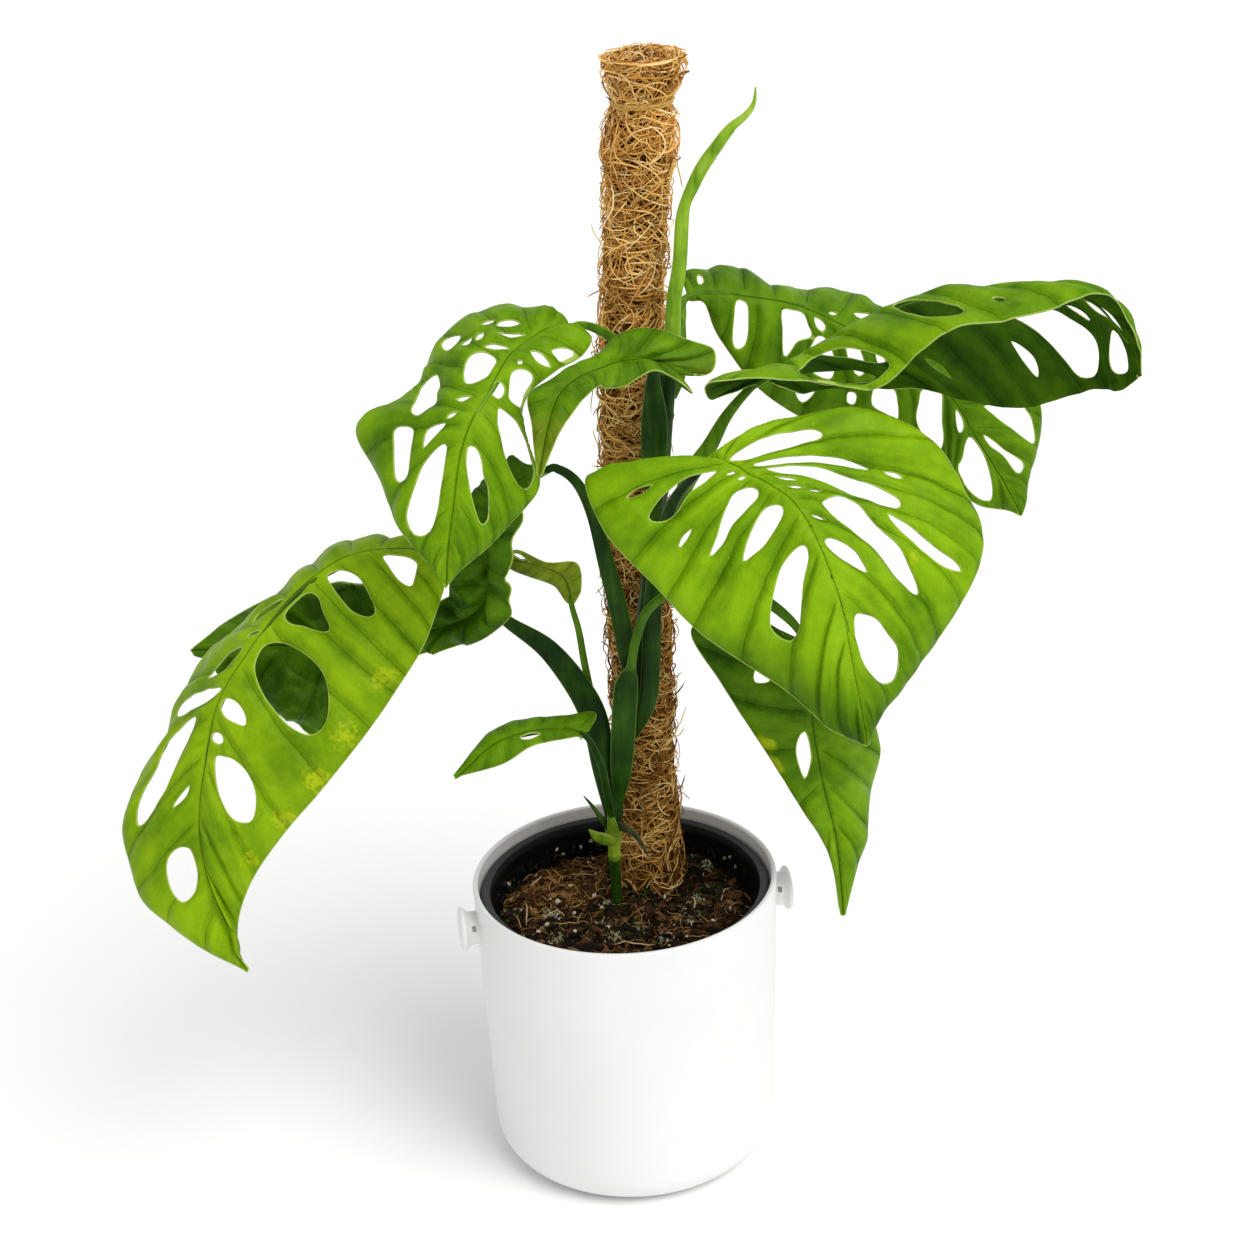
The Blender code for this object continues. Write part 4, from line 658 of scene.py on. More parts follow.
def make_coir_sleeve():
    bm = bmesh.new()
    heights = np.linspace(SLEEVE_FOOT, SLEEVE_TOP, 210)
    loops = []
    for centre, radius in zip(pole_points(heights), coir_radius(heights) - 0.9):
        made = bmesh.ops.create_circle(bm, segments=44, radius=radius * MM,
                                       matrix=Matrix.Translation(Vector(centre) * MM))
        loops.append(list({edge for vert in made["verts"] for edge in vert.link_edges}))
    for low, high in zip(loops, loops[1:]):
        bmesh.ops.bridge_loops(bm, edges=low + high)
    inner = bmesh.ops.extrude_edge_only(bm, edges=loops[-1])
    rim = [item for item in inner["geom"] if isinstance(item, bmesh.types.BMVert)]
    top = Vector(pole_points([SLEEVE_TOP])[0]) * MM
    for vert in rim:
        vert.co = top + (vert.co - top) * 0.66 - Vector((0, 0, 5 * MM))
    for vert in bm.verts:
        if vert not in rim:
            out = vert.co - Vector(pole_points([vert.co.z / MM])[0]) * MM
            lumps = noise.noise(vert.co * 120) * 1.1 + noise.noise(vert.co * 420) * 0.7
            vert.co += out.normalized() * lumps * MM
    bmesh.ops.recalc_face_normals(bm, faces=bm.faces[:])
    return bm


coir_brown = grained("coir_brown", 0.95, (300, 5, (1, 1, 0.35), 0.7),
                     [(0.3, (0.02, 0.007, 0.0015)), (0.5, (0.085, 0.034, 0.006)),
                      (0.62, (0.22, 0.095, 0.02)), (0.8, (0.45, 0.23, 0.06))], (1.2, 1),
                     Specular_IOR_Level=0.05)
piece("coir_sleeve", make_coir_sleeve(), "coir_wrap", [coir_brown], 80)


def coir_fibre(low, high, points=10):
    """One fibre: most hug the sleeve in arcs, some stand off it in loops, a few end in the air."""
    kind = rng.random()
    share = np.linspace(0, 1, points)
    height = rng.uniform(low, high)
    length = rng.uniform(14, 42)
    steep = rng.gauss(0, 0.85)
    curl = rng.gauss(0, 2.5)
    heading = steep + curl * (share - 0.5)
    across = np.cumsum(np.cos(heading)) * length / points * rng.choice((-1, 1))
    up = np.cumsum(np.sin(heading)) * length / points
    turns = rng.uniform(0, 2 * math.pi) + across / COIR_RADIUS
    heights = np.clip(height + up, FIBRES_FOOT, COIR_TOP + 1.5)
    rises = rng.uniform(-0.6, 1) + np.array([rng.uniform(-0.35, 0.35) for _ in share])
    if kind < 0.28:
        rises = rises + rng.uniform(1.2, 4.5) * np.sin(math.pi * share)
    elif kind < 0.33:
        rises = rises + rng.uniform(3, 9) * share ** 1.6
    calm = np.clip(np.abs(heights - TIE_HEIGHT) / 9, 0.15, 1)
    return coir_points(heights, turns, rises * calm)


# The high fibres are paler than the low: partly the fibres' own colour, damper low down, and partly painted
# light on the pole's top above the leaves and painted shade on its middle beneath them.
COIR_STOPS = [(0.02, (0.05, 0.018, 0.003)), (0.2, (0.2, 0.08, 0.014)), (0.5, (0.5, 0.24, 0.045)),
              (0.8, (0.84, 0.49, 0.13)), (0.98, (0.97, 0.74, 0.33))]
BRIGHT_COIR_STOPS = [(0.02, (0.2, 0.085, 0.015)), (0.2, (0.46, 0.22, 0.045)), (0.5, (0.72, 0.38, 0.09)),
                     (0.8, (0.9, 0.56, 0.17)), (0.98, (0.97, 0.76, 0.38))]
coir_fibres = fibre_finish("coir_fibre", COIR_STOPS, 0.8)
coir_fibres_bright = fibre_finish("coir_fibre_bright", BRIGHT_COIR_STOPS, 0.8)
for name, (low, high), finish in (("coir_fibres_low", LOW_FIBRES, coir_fibres),
                                  ("coir_fibres_high", HIGH_FIBRES, coir_fibres_bright)):
    lines = [coir_fibre(low, high) for _ in range(FIBRES_EACH)]
    strands(name, lines, 0.35, "coir_wrap", finish)


def fray(points=7):
    """A fibre that loops or sticks up at the open top."""
    turn = rng.uniform(0, 2 * math.pi)
    share = np.linspace(0, 1, points)
    rise = rng.uniform(3, 7) if rng.random() < 0.85 else rng.uniform(6, 12)
    heights = COIR_TOP - rng.uniform(3, 9) + np.sin(share * math.pi * rng.uniform(0.55, 1)) * rise
    turns = turn + rng.gauss(0, 0.5) * share + rng.gauss(0, 0.25) * np.sin(share * 5)
    rises = rng.uniform(-7, 0.5) + rng.gauss(0, 3) * share ** 2
    top = np.minimum(heights, COIR_TOP + 7)
    line = coir_points(np.minimum(top, COIR_TOP), turns, rises)
    line[:, 2] += np.maximum(top - COIR_TOP, 0)
    return line


strands("coir_fray", [fray() for _ in range(FRAYED)], 0.34, "coir_wrap", coir_fibres_bright)


# Twine tie: a little over two turns of three-ply jute twine round the top of the coir, pulled tight.

# How often the twine goes round, how far it climbs each time, and how often it twists meanwhile.
TWINE_TURNS, TWINE_PITCH, TWIST_EACH, PLIES = 2.3, 1.25, 13, 3


def twine_strand(ply):
    """One of the twine's three plies."""
    turns = np.linspace(0, TWINE_TURNS * 2 * math.pi, 240)
    heights = TIE_HEIGHT - 1.4 + TWINE_PITCH * turns / (2 * math.pi)
    twist = turns * TWIST_EACH + ply * 2 * math.pi / PLIES
    return coir_points(heights + 0.5 * np.sin(twist), turns + 0.9, 0.7 + 0.5 * np.cos(twist))


twine = grained("twine", 0.8, (700, 4, (1, 1, 1), 0.7),
                [(0.3, (0.3, 0.15, 0.025)), (0.5, (0.6, 0.35, 0.07)), (0.75, (0.85, 0.58, 0.18))],
                (0.3, 0.7))
plies = [twine_strand(ply) for ply in range(PLIES)]
strands("twine_plies", plies, 0.62, "twine_tie", twine)


# Stem: the green climbing stem, rooted in the soil and held against the front of the pole. Ring
# scars mark its nodes, and at the lowest one stand a fresh bud and three bracts, one of them dry.

STEM_LINE = [(-5, 11, 105), (-5, 10, 145), (-5, 6, 177), (-4, 4, 204), (1, 4, 241), (9, 3, 278),
             (16, 3, 313), (23, 3, 360), (29, 4, 410), (34, 6, 454), (38, 9, 480)]
STEM_RADII = [2.9, 2.9, 3.1, 4.2, 4.6, 5, 5, 5, 4.8, 4.6, 4.4]
NODE_HEIGHTS = (181, 207, 252, 284, 318, 352, 398, 440, 468)
BUD_HEIGHT = 197


def stalk_finish(name, dark, middle, light, edge, roughness=0.46, fresh=()):
    """Green skin with fine lengthwise streaks, paler along the sides.

    Each fresh band has its lowest and highest place, in millimetres, and its own three greens.
    """
    finish, tree, shader = new_finish(name, roughness, IOR=1.45, Specular_IOR_Level=0.14)
    streak = place_noise(tree, 260, 4, (1, 1, 0.08))
    tone = sum_of(tree, times(tree, streak, 0.45), times(tree, place_noise(tree, 45, 3), 0.55))
    skin = ramp(tree, tone, [(0.35, dark), (0.5, middle), (0.68, light)])
    height = height_of(tree)
    for low, high, greens in fresh:
        inside = times(tree, span(tree, height, (low - 2) * MM, (low + 2) * MM),
                       span(tree, height, (high + 2) * MM, (high - 2) * MM))
        skin = blend(tree, inside, skin, ramp(tree, tone, list(zip((0.35, 0.6, 0.75), greens))))
    side = span(tree, math_of(tree, "ABSOLUTE", mark(tree, "out")), 0.86, 1, 0, 0.75)
    paint(tree, shader, blend(tree, side, skin, (*edge, 1)))
    relief(tree, shader, streak, 0.15, 0.4)
    return finish


stem = loft(STEM_LINE, [(r, r) for r in STEM_RADII], 28, step=1.3)
for vert in stem.verts:
    height = vert.co.z / MM
    ring = sum(math.exp(-((height - node) / 1.3) ** 2) for node in NODE_HEIGHTS)
    ring += 1.6 * math.exp(-((height - BUD_HEIGHT) / 4) ** 2)
    place = np.interp([height], [p[2] for p in STEM_LINE], np.arange(len(STEM_LINE)))
    out = vert.co - Vector(spline(STEM_LINE, place)[0]) * MM
    out.z = 0
    ribs = 0.25 * math.sin(5 * math.atan2(out.y, out.x) + height * 0.02)
    vert.co += out.normalized() * (0.55 * ring + ribs) * MM
stem_green = stalk_finish("stem_green", (0.006, 0.026, 0.002), (0.016, 0.055, 0.003), (0.05, 0.13, 0.008),
                          (0.03, 0.08, 0.006), 0.42,
                          [(178, 203, ((0.14, 0.26, 0.01), (0.3, 0.44, 0.03), (0.5, 0.6, 0.1)))])
piece("stem_climber", stem, "stem", [stem_green])

BRACTS = (
    ("stem_bract_left", [(-5, 2, 196), (-10, -3, 207), (-16, -6, 219), (-20, -8, 226)],
     [(2.2, 0.9), (1.7, 0.8), (1, 0.5), (0.3, 0.3)], "leafy"),
    ("stem_bract_front", [(-5, -1, 196), (-5, -5, 203), (-6, -7, 212), (-8, -8, 222)],
     [(3.4, 1.4), (3.2, 1), (1.8, 0.7), (0.3, 0.3)], "fresh"),
    ("stem_bud", [(-5, 1, 192), (-9, -4, 196), (-14, -9, 201), (-18, -12, 207)],
     [(2.8, 2.6), (3.6, 3.1), (2.9, 2.3), (0.5, 0.5)], "fresh"),
    ("stem_bract_right", [(-3, 1, 201), (3, -6, 203), (9, -11, 199), (14, -15, 190)],
     [(2.4, 1.4), (3.4, 1.1), (2.6, 0.8), (0.3, 0.3)], "dry"),
)
bract_finishes = {
    "dry": stalk_finish("bract_dry", (0.012, 0.02, 0.008), (0.05, 0.06, 0.025), (0.14, 0.14, 0.07),
                        (0.12, 0.12, 0.05), 0.6),
    "leafy": stalk_finish("bract_leafy", (0.01, 0.03, 0.004), (0.025, 0.07, 0.006), (0.07, 0.14, 0.015),
                          (0.1, 0.16, 0.03)),
    "fresh": stalk_finish("bract_fresh", (0.06, 0.13, 0.006), (0.17, 0.28, 0.015), (0.36, 0.46, 0.05),
                          (0.4, 0.48, 0.1)),
}
for name, line, sizes, kind in BRACTS:
    piece(name, loft(line, sizes, 14, step=0.8), "stem", [bract_finishes[kind]])


# New leaf: still rolled up, at the very top of the stem. Its free edge winds round it as a fine
# ridge, and it narrows to a pale point.

SPEAR_LINE = [(38, 9, 481), (39.5, 8.5, 501), (43, 8, 520), (45, 7.5, 542), (47, 6, 552), (51, 5, 561),
              (56, 3, 571), (63, 1, 581), (70, 0, 590), (78, -2, 597), (82, -3, 603), (83, -4, 611)]
SPEAR_RADII = [4.4, 4, 3.8, 3.5, 2.9, 3.2, 3.3, 3.1, 2.6, 1.8, 1.2, 0.4]


def rolled_section(co, size, share):
    """The roll's free edge stands up as a step that winds slowly round."""
    turn = (math.atan2(co.y, co.x) - 1.1 - share * 2.5) / (2 * math.pi) % 1
    return co * (1.08 - 0.22 * turn)


new_green = stalk_finish("new_green", (0.1, 0.24, 0.008), (0.24, 0.43, 0.02), (0.45, 0.62, 0.08),
                         (0.4, 0.6, 0.1), 0.4)
piece("new_leaf_roll", loft(SPEAR_LINE, [(r, r) for r in SPEAR_RADII], 24, rolled_section, 1.5),
      "new_leaf", [new_green], 60)


# Leaves: each is a thin leathery blade on a stalk whose lower part is a sheath round the stem. The
# blades are cut by windows between their side veins, and are green above and paler beneath.

# How fast the margins wave from vein to vein, and the midrib's radius and the blade's thickness in mm.
WAVE_PITCH, VEIN_RADIUS, BLADE_THICKNESS = 2.3, 1.7, 0.65
# Between which shares of the blade's length the raised midrib runs, and in how many points.
MIDRIB_SHARES = (0.12, 0.92, 7)
# What most blades have in common: the pitch of their side veins where no window sets it, how deeply
# they crumple and how far their margins curl under, the size of their faces, how far each half
# swells and how far its margin waves, and their windows. The points round a window are in hundredths:
# of a vein's number, and of the way out from the midrib to the margin, where the left is negative.
USUAL_LEAF = {"vein_gap": 0.85, "crumple": 0, "curl": 0.5, "face_size": 2.4, "crown": 5, "wave": 3,
              "windows": ()}
# Greens, each from dark to pale.
BRIGHT = ((0.055, 0.15, 0.001), (0.13, 0.28, 0.0015), (0.215, 0.4, 0.003), (0.32, 0.52, 0.01))
MIDDLE = ((0.028, 0.085, 0.001), (0.07, 0.17, 0.0015), (0.125, 0.27, 0.003), (0.2, 0.38, 0.008))
DEEP = ((0.009, 0.034, 0.0005), (0.03, 0.088, 0.001), (0.075, 0.175, 0.002), (0.15, 0.29, 0.008))
YELLOWED = ((0.065, 0.15, 0.001), (0.145, 0.275, 0.0015), (0.235, 0.39, 0.003), (0.34, 0.5, 0.01))
GREEN = ((0.043, 0.125, 0.001), (0.105, 0.24, 0.0015), (0.18, 0.345, 0.003), (0.28, 0.46, 0.008))
SHADED = ((0.012, 0.045, 0.0005), (0.033, 0.1, 0.001), (0.07, 0.18, 0.002), (0.13, 0.29, 0.005))
OLIVE = ((0.05, 0.09, 0.003), (0.12, 0.185, 0.006), (0.2, 0.28, 0.012), (0.3, 0.38, 0.03))


def blade_point(leaf, place, share, lift=0):
    """Points of the blade from vein number and signed share of the way out to the margin.

    Each half swells between midrib and margin by the crown, and its margin rises and falls by
    the wave. The lift raises each point off the surface.
    """
    veins = leaf["veins"]
    left, mid, right = (spline(veins[:, k], place) for k in range(3))
    ahead = spline(veins[:, 1], place + 0.05) - spline(veins[:, 1], place - 0.05)
    on_left = (share < 0)[..., None]
    reach = np.where(on_left, left, right) - mid
    upward = np.where(on_left, np.cross(ahead, reach), np.cross(reach, ahead))
    upward = upward / (np.linalg.norm(upward, axis=-1, keepdims=True) + 1e-9)
    out = np.abs(share)[..., None]
    swell = np.sqrt(np.sin(np.pi * np.clip(place / (len(veins) - 1), 0, 1)))[..., None]
    rise = leaf["crown"] * 4 * out * (1 - out)
    rise = rise + leaf["wave"] * out ** 2 * np.sin(WAVE_PITCH * place + 1)[..., None]
    return mid + reach * out + upward * (swell * rise + np.reshape(lift, (-1, 1)))


def lay_flat(veins):
    """The blade pressed flat: each vein's place along +X, and how far it reaches on either side."""
    rows = np.linalg.norm(np.diff(veins, axis=0), axis=2).mean(axis=1)
    places = np.concatenate([[0], np.cumsum(rows)])
    left, right = (np.maximum(np.linalg.norm(veins[:, k] - veins[:, 1], axis=1), 1) for k in (0, 2))
    return places, left, right


def flat_point(flat, place, share):
    numbers = np.arange(len(flat[0]))
    along, left, right = (np.interp(place, numbers, row) for row in flat)
    return np.column_stack([along, share * np.where(share < 0, left, right)])


def vein_coordinates(flat, points):
    """Vein number and signed share of points on the flat blade."""
    place = np.interp(points[:, 0], flat[0], np.arange(len(flat[0])))
    left, right = (np.interp(points[:, 0], flat[0], row) for row in flat[1:])
    share = points[:, 1] / np.where(points[:, 1] < 0, left, right)
    return place, np.clip(share, -1, 1)


def window_loop(flat, points, spacing):
    """Even points on the closed smooth curve through a window's points, on the flat blade."""
    points = np.asarray(points, float)
    round_trip = np.vstack([points[-1:], points, points[:2]])
    fine = spline(round_trip, np.linspace(1, len(points) + 1, 30 * len(points)))
    fine = flat_point(flat, fine[:, 0], fine[:, 1])
    length = np.concatenate([[0], np.cumsum(np.linalg.norm(np.diff(fine, axis=0), axis=1))])
    even = np.linspace(0, length[-1], max(8, round(length[-1] / spacing)), endpoint=False)
    return np.column_stack([np.interp(even, length, fine[:, k]) for k in (0, 1)])


def edge_loop(bm, points, closed=True):
    verts = [bm.verts.new((x, y, 0)) for x, y in points]
    pairs = list(zip(verts, verts[1:])) + ([(verts[-1], verts[0])] if closed else [])
    return verts, [bm.edges.new(pair) for pair in pairs]


def flat_sheet(leaf, face_size):
    """The blade pressed flat, in even triangles, with its windows open."""
    veins = leaf["veins"]
    flat = lay_flat(veins)
    last = len(veins) - 1
    bm = bmesh.new()
    steps = int(np.linalg.norm(np.diff(veins[:, 1], axis=0), axis=1).sum() / face_size)
    places = np.linspace(0, last, steps + 1)
    mid_verts, mid_edges = edge_loop(bm, flat_point(flat, places, 0 * places), closed=False)
    for edge in mid_edges:
        edge.smooth = False
    for sign in (-1, 1):
        margin_length = np.sum(np.linalg.norm(np.diff(veins[:, 1 + sign], axis=0), axis=1))
        margin = np.linspace(0, last, int(margin_length / face_size) + 1)
        rim, edges = edge_loop(bm, flat_point(flat, margin, sign + 0 * margin), closed=False)
        edges.append(bm.edges.new((mid_verts[0], rim[0])))
        edges.append(bm.edges.new((mid_verts[-1], rim[-1])))
        for points in leaf["windows"]:
            if points[0][1] * sign > 0:
                edges += edge_loop(bm, window_loop(flat, points, 0.9 * face_size))[1]
        bmesh.ops.triangle_fill(bm, edges=edges + mid_edges, use_beauty=True)
    for _ in range(12):
        long_edges = [e for e in bm.edges if e.calc_length() > face_size * 1.35 and not e.is_boundary]
        if not long_edges:
            break
        bmesh.ops.subdivide_edges(bm, edges=long_edges, cuts=1)
        bmesh.ops.triangulate(bm, faces=bm.faces[:])
        loose = [e for e in bm.edges if e.smooth and not e.is_boundary]
        bmesh.ops.beautify_fill(bm, faces=bm.faces[:], edges=loose)
    inner = [v for v in bm.verts if not v.is_boundary and all(e.smooth for e in v.link_edges)]
    for _ in range(5):
        bmesh.ops.smooth_vert(bm, verts=inner, factor=0.5, use_axis_x=True, use_axis_y=True)
    return bm, flat


def side_veins(leaf, sign):
    """Where one half's side veins leave the midrib and reach the margin, as vein numbers.

    They run midway between the windows, and closer where there are none.
    """
    last = len(leaf["veins"]) - 1
    gates = []
    for points in leaf["windows"]:
        near, *_, far = sorted(points, key=lambda point: abs(point[1]))
        if near[1] * sign > 0 and abs(far[1] - near[1]) > 0.28:
            gates.append((near[0], far[0]))
    gates.sort()
    starts = [gate[0] for gate in gates]
    stops = list(np.maximum.accumulate([gate[1] for gate in gates])) if gates else []
    gates = [(-0.4, -0.9)] + list(zip(starts, stops)) + [(last * 0.98, last + 0.4)]
    lines = []
    for first, second in zip(gates, gates[1:]):
        gap = max(second[0] - first[0], 0.7 * (second[1] - first[1]))
        count = max(1, round(gap / leaf["vein_gap"]))
        for k in range(count):
            share = (k + 0.5) / count
            lines.append([first[j] + (second[j] - first[j]) * share for j in (0, 1)])
    return np.maximum.accumulate(np.array(lines) + np.arange(len(lines))[:, None] * 1e-3)


def vein_number(lines, place, out):
    """Points' places counted in side veins: whole numbers on the veins. And their spacing."""
    out = out[:, None]
    knots = lines[:, 0] + (lines[:, 1] - lines[:, 0]) * (0.75 * out + 0.25 * out ** 2)
    passed = np.clip((knots <= place[:, None]).sum(axis=1) - 1, 0, len(lines) - 2)
    row = np.arange(len(place))
    low, high = knots[row, passed], knots[row, passed + 1]
    gap = np.maximum(high - low, 0.05)
    return passed + (place - low) / gap, gap


def nearest(points, others):
    """How far points are from the nearest of some others."""
    far = np.full(len(points), 1e9)
    batch = 200
    for start in range(0, len(others), batch):
        step = points[:, None] - others[None, start:start + batch]
        far = np.minimum(far, np.sqrt((step ** 2).sum(axis=2)).min(axis=1))
    return far


def add_blade(name, node, leaf, finishes):
    """The blade: quilted between sunken side veins, with waved margins, and marks for its skin."""
    windows = [[(place / 100, share / 100) for place, share in points] for points in leaf["windows"]]
    leaf = dict(leaf, veins=np.asarray(leaf["veins"], float), windows=windows)
    bm, flat = flat_sheet(leaf, leaf["face_size"])
    bm.verts.index_update()
    pressed = np.array([vert.co[:2] for vert in bm.verts])
    place, share = vein_coordinates(flat, pressed)
    bare = blade_point(leaf, place, share)
    edge = np.array([vert.is_boundary for vert in bm.verts])
    rim = nearest(bare, bare[edge])
    middle = blade_point(leaf, place, 0 * share)
    out = np.linalg.norm(bare - middle, axis=1)
    nudge = 0.02
    row = blade_point(leaf, place + nudge, share) - blade_point(leaf, place - nudge, share)
    row = np.linalg.norm(row, axis=1) / (2 * nudge)
    marks = {}
    for sign in (-1, 1):
        number, gap = vein_number(side_veins(leaf, sign), place, np.abs(share))
        marks[sign] = np.column_stack([number, out, gap * row])
    number = np.where(share < 0, marks[-1][:, 0], marks[1][:, 0])
    # Between two side veins the blade swells, more towards the lower one, and less near any edge.
    swollen = np.abs(np.sin(math.pi * number)) ** 0.7 * (1 + 0.5 * np.cos(math.pi * (number % 1)))
    pillow = swollen * np.clip(out / 9, 0, 1) * np.clip(rim / 5, 0.25, 1)
    # It is uneven all over, and an old one folds deeply. The midrib lies in a valley, and the margin
    # curls under.
    rough = np.array([noise.noise(Vector(p) * 0.035) * 1.6 + noise.noise(Vector(p) * 0.11) * 0.7
                      for p in bare])
    crumple = np.array([0.4 - 1.6 * abs(noise.noise(Vector(p) * 0.062 + Vector((7, 3, 1)))) for p in bare])
    crumple *= leaf["crumple"]
    valley = -0.9 * np.exp(-(out / 2.2) ** 2)
    calm = np.clip(out / 12, 0, 1)
    lift = leaf["quilt"] * pillow + (rough + crumple) * calm + valley
    lift -= leaf["curl"] * np.exp(-rim / 2.5) * np.clip(out / 10, 0, 1)
    points = blade_point(leaf, place, share, lift)
    for vert, point in zip(bm.verts, points):
        vert.co = Vector(point) * MM
    bm.normal_update()
    # The faces have to look upward, away from the stalk's side.
    ahead = blade_point(leaf, place + 0.05, share) - blade_point(leaf, place - 0.05, share)
    reach = np.where((share < 0)[:, None], -1, 1) * (bare - middle)
    upward = np.cross(reach, ahead)
    votes = sum(face.normal.dot(Vector(upward[face.verts[0].index])) for face in bm.faces)
    if votes < 0:
        bmesh.ops.reverse_faces(bm, faces=bm.faces[:])
    # Each corner keeps the vein number of its own half, as the two halves' numbers differ at the midrib.
    sides = np.array([np.sign(np.mean([pressed[v.index, 1] for v in face.verts])) for face in bm.faces])
    obj = piece(name, bm, node, finishes, 180)
    mesh = obj.data
    corner_vert = np.empty(len(mesh.loops), int)
    mesh.loops.foreach_get("vertex_index", corner_vert)
    corner_side = np.repeat(sides, 3)
    vein_mark = np.where((corner_side < 0)[:, None], marks[-1][corner_vert], marks[1][corner_vert])
    mesh.attributes.new("vein", "FLOAT_VECTOR", "CORNER").data.foreach_set("vector", vein_mark.ravel())
    mesh.attributes.new("rim", "FLOAT", "POINT").data.foreach_set("value", rim)
    thickness = obj.modifiers.new("thickness", "SOLIDIFY")
    thickness.thickness = BLADE_THICKNESS * MM
    thickness.offset = 0
    thickness.material_offset = 1
    thickness.material_offset_rim = 2
    return obj


def sheath_section(co, size, share):
    """The stalk is round near the blade, and below it is a sheath with a furrow and thin edges."""
    broad = min(1, max(0, (size[0] - 2.6) / 2.2))
    side = co.x / size[0]
    furrow = 1 - 0.75 * broad * math.exp(-(side / 0.4) ** 2)
    return Vector((co.x, co.y * (furrow if co.y < 0 else 1), 0))


def add_stalk(name, node, leaf, finish):
    """The leaf stalk, run on beneath the blade as its thick midrib."""
    veins = np.asarray(leaf["veins"], float)
    shape = dict(leaf, veins=veins, crown=0, wave=0)
    line = [np.array(point, float) for point in leaf["petiole"]]
    sizes = list(leaf["sizes"])
    mid = veins[:, 1]
    length = np.concatenate([[0], np.cumsum(np.linalg.norm(np.diff(mid, axis=0), axis=1))])
    for share in np.linspace(*MIDRIB_SHARES):
        place = np.array([np.interp(share * length[-1], length, np.arange(len(mid)))])
        radius = VEIN_RADIUS * (1 - share) * leaf["sizes"][-1][1] / 1.8 + 0.35
        line.append(blade_point(shape, place, np.array([1e-3]), -0.95 * radius - 0.9)[0])
        sizes.append((radius, radius))
    piece(name, loft(line, sizes, 18, sheath_section), node, [finish])


def leaf_marks(tree):
    """The blade's marks: distances from the nearest side vein, the midrib and the edge, and streaks.

    The streaks run along the side veins.
    """
    vein = add_node(tree, "Attribute", {"attribute_name": "vein"}).outputs["Vector"]
    number, out, pitch = add_node(tree, "SeparateXYZ", i0=vein).outputs
    rim = mark(tree, "rim")
    wander = times(tree, less(tree, place_noise(tree, 35, 3), 0.5), 0.22)
    number = sum_of(tree, number, wander)
    half = math_of(tree, "PINGPONG", number, 0.5)
    near_vein = times(tree, half, pitch)
    along = add_node(tree, "CombineXYZ", i0=times(tree, number, 1.9),
                     i1=times(tree, out, 0.024)).outputs[0]
    streaks = add_node(tree, "TexNoise", Vector=along, Scale=1.0, Detail=4.0, Roughness=0.55).outputs["Fac"]
    return near_vein, out, rim, streaks


def skin_tone(tree, tone, greens, tip):
    """Greens by tone from dark to pale.

    A leaf with a tip turns to the tip's greens between two heights, in millimetres, as it hangs down.
    """
    stops = (0.28, 0.43, 0.6, 0.84)
    skin = ramp(tree, tone, list(zip(stops, greens)))
    if not tip:
        return skin
    tip_greens, top, low = tip
    hang = span(tree, height_of(tree), top * MM, low * MM)
    return blend(tree, hang, skin, ramp(tree, tone, list(zip(stops, tip_greens))))


def leaf_finish(name, roughness, ior, specular):
    """A leaf's shader: light goes a little way in, and green light farthest."""
    finish, tree, shader = new_finish(name, roughness, IOR=ior, Specular_IOR_Level=specular,
                                      Subsurface_Weight=0.08, Subsurface_Scale=0.0015)
    shader.inputs["Subsurface Radius"].default_value = (0.6, 1, 0.1)
    return finish, tree, shader


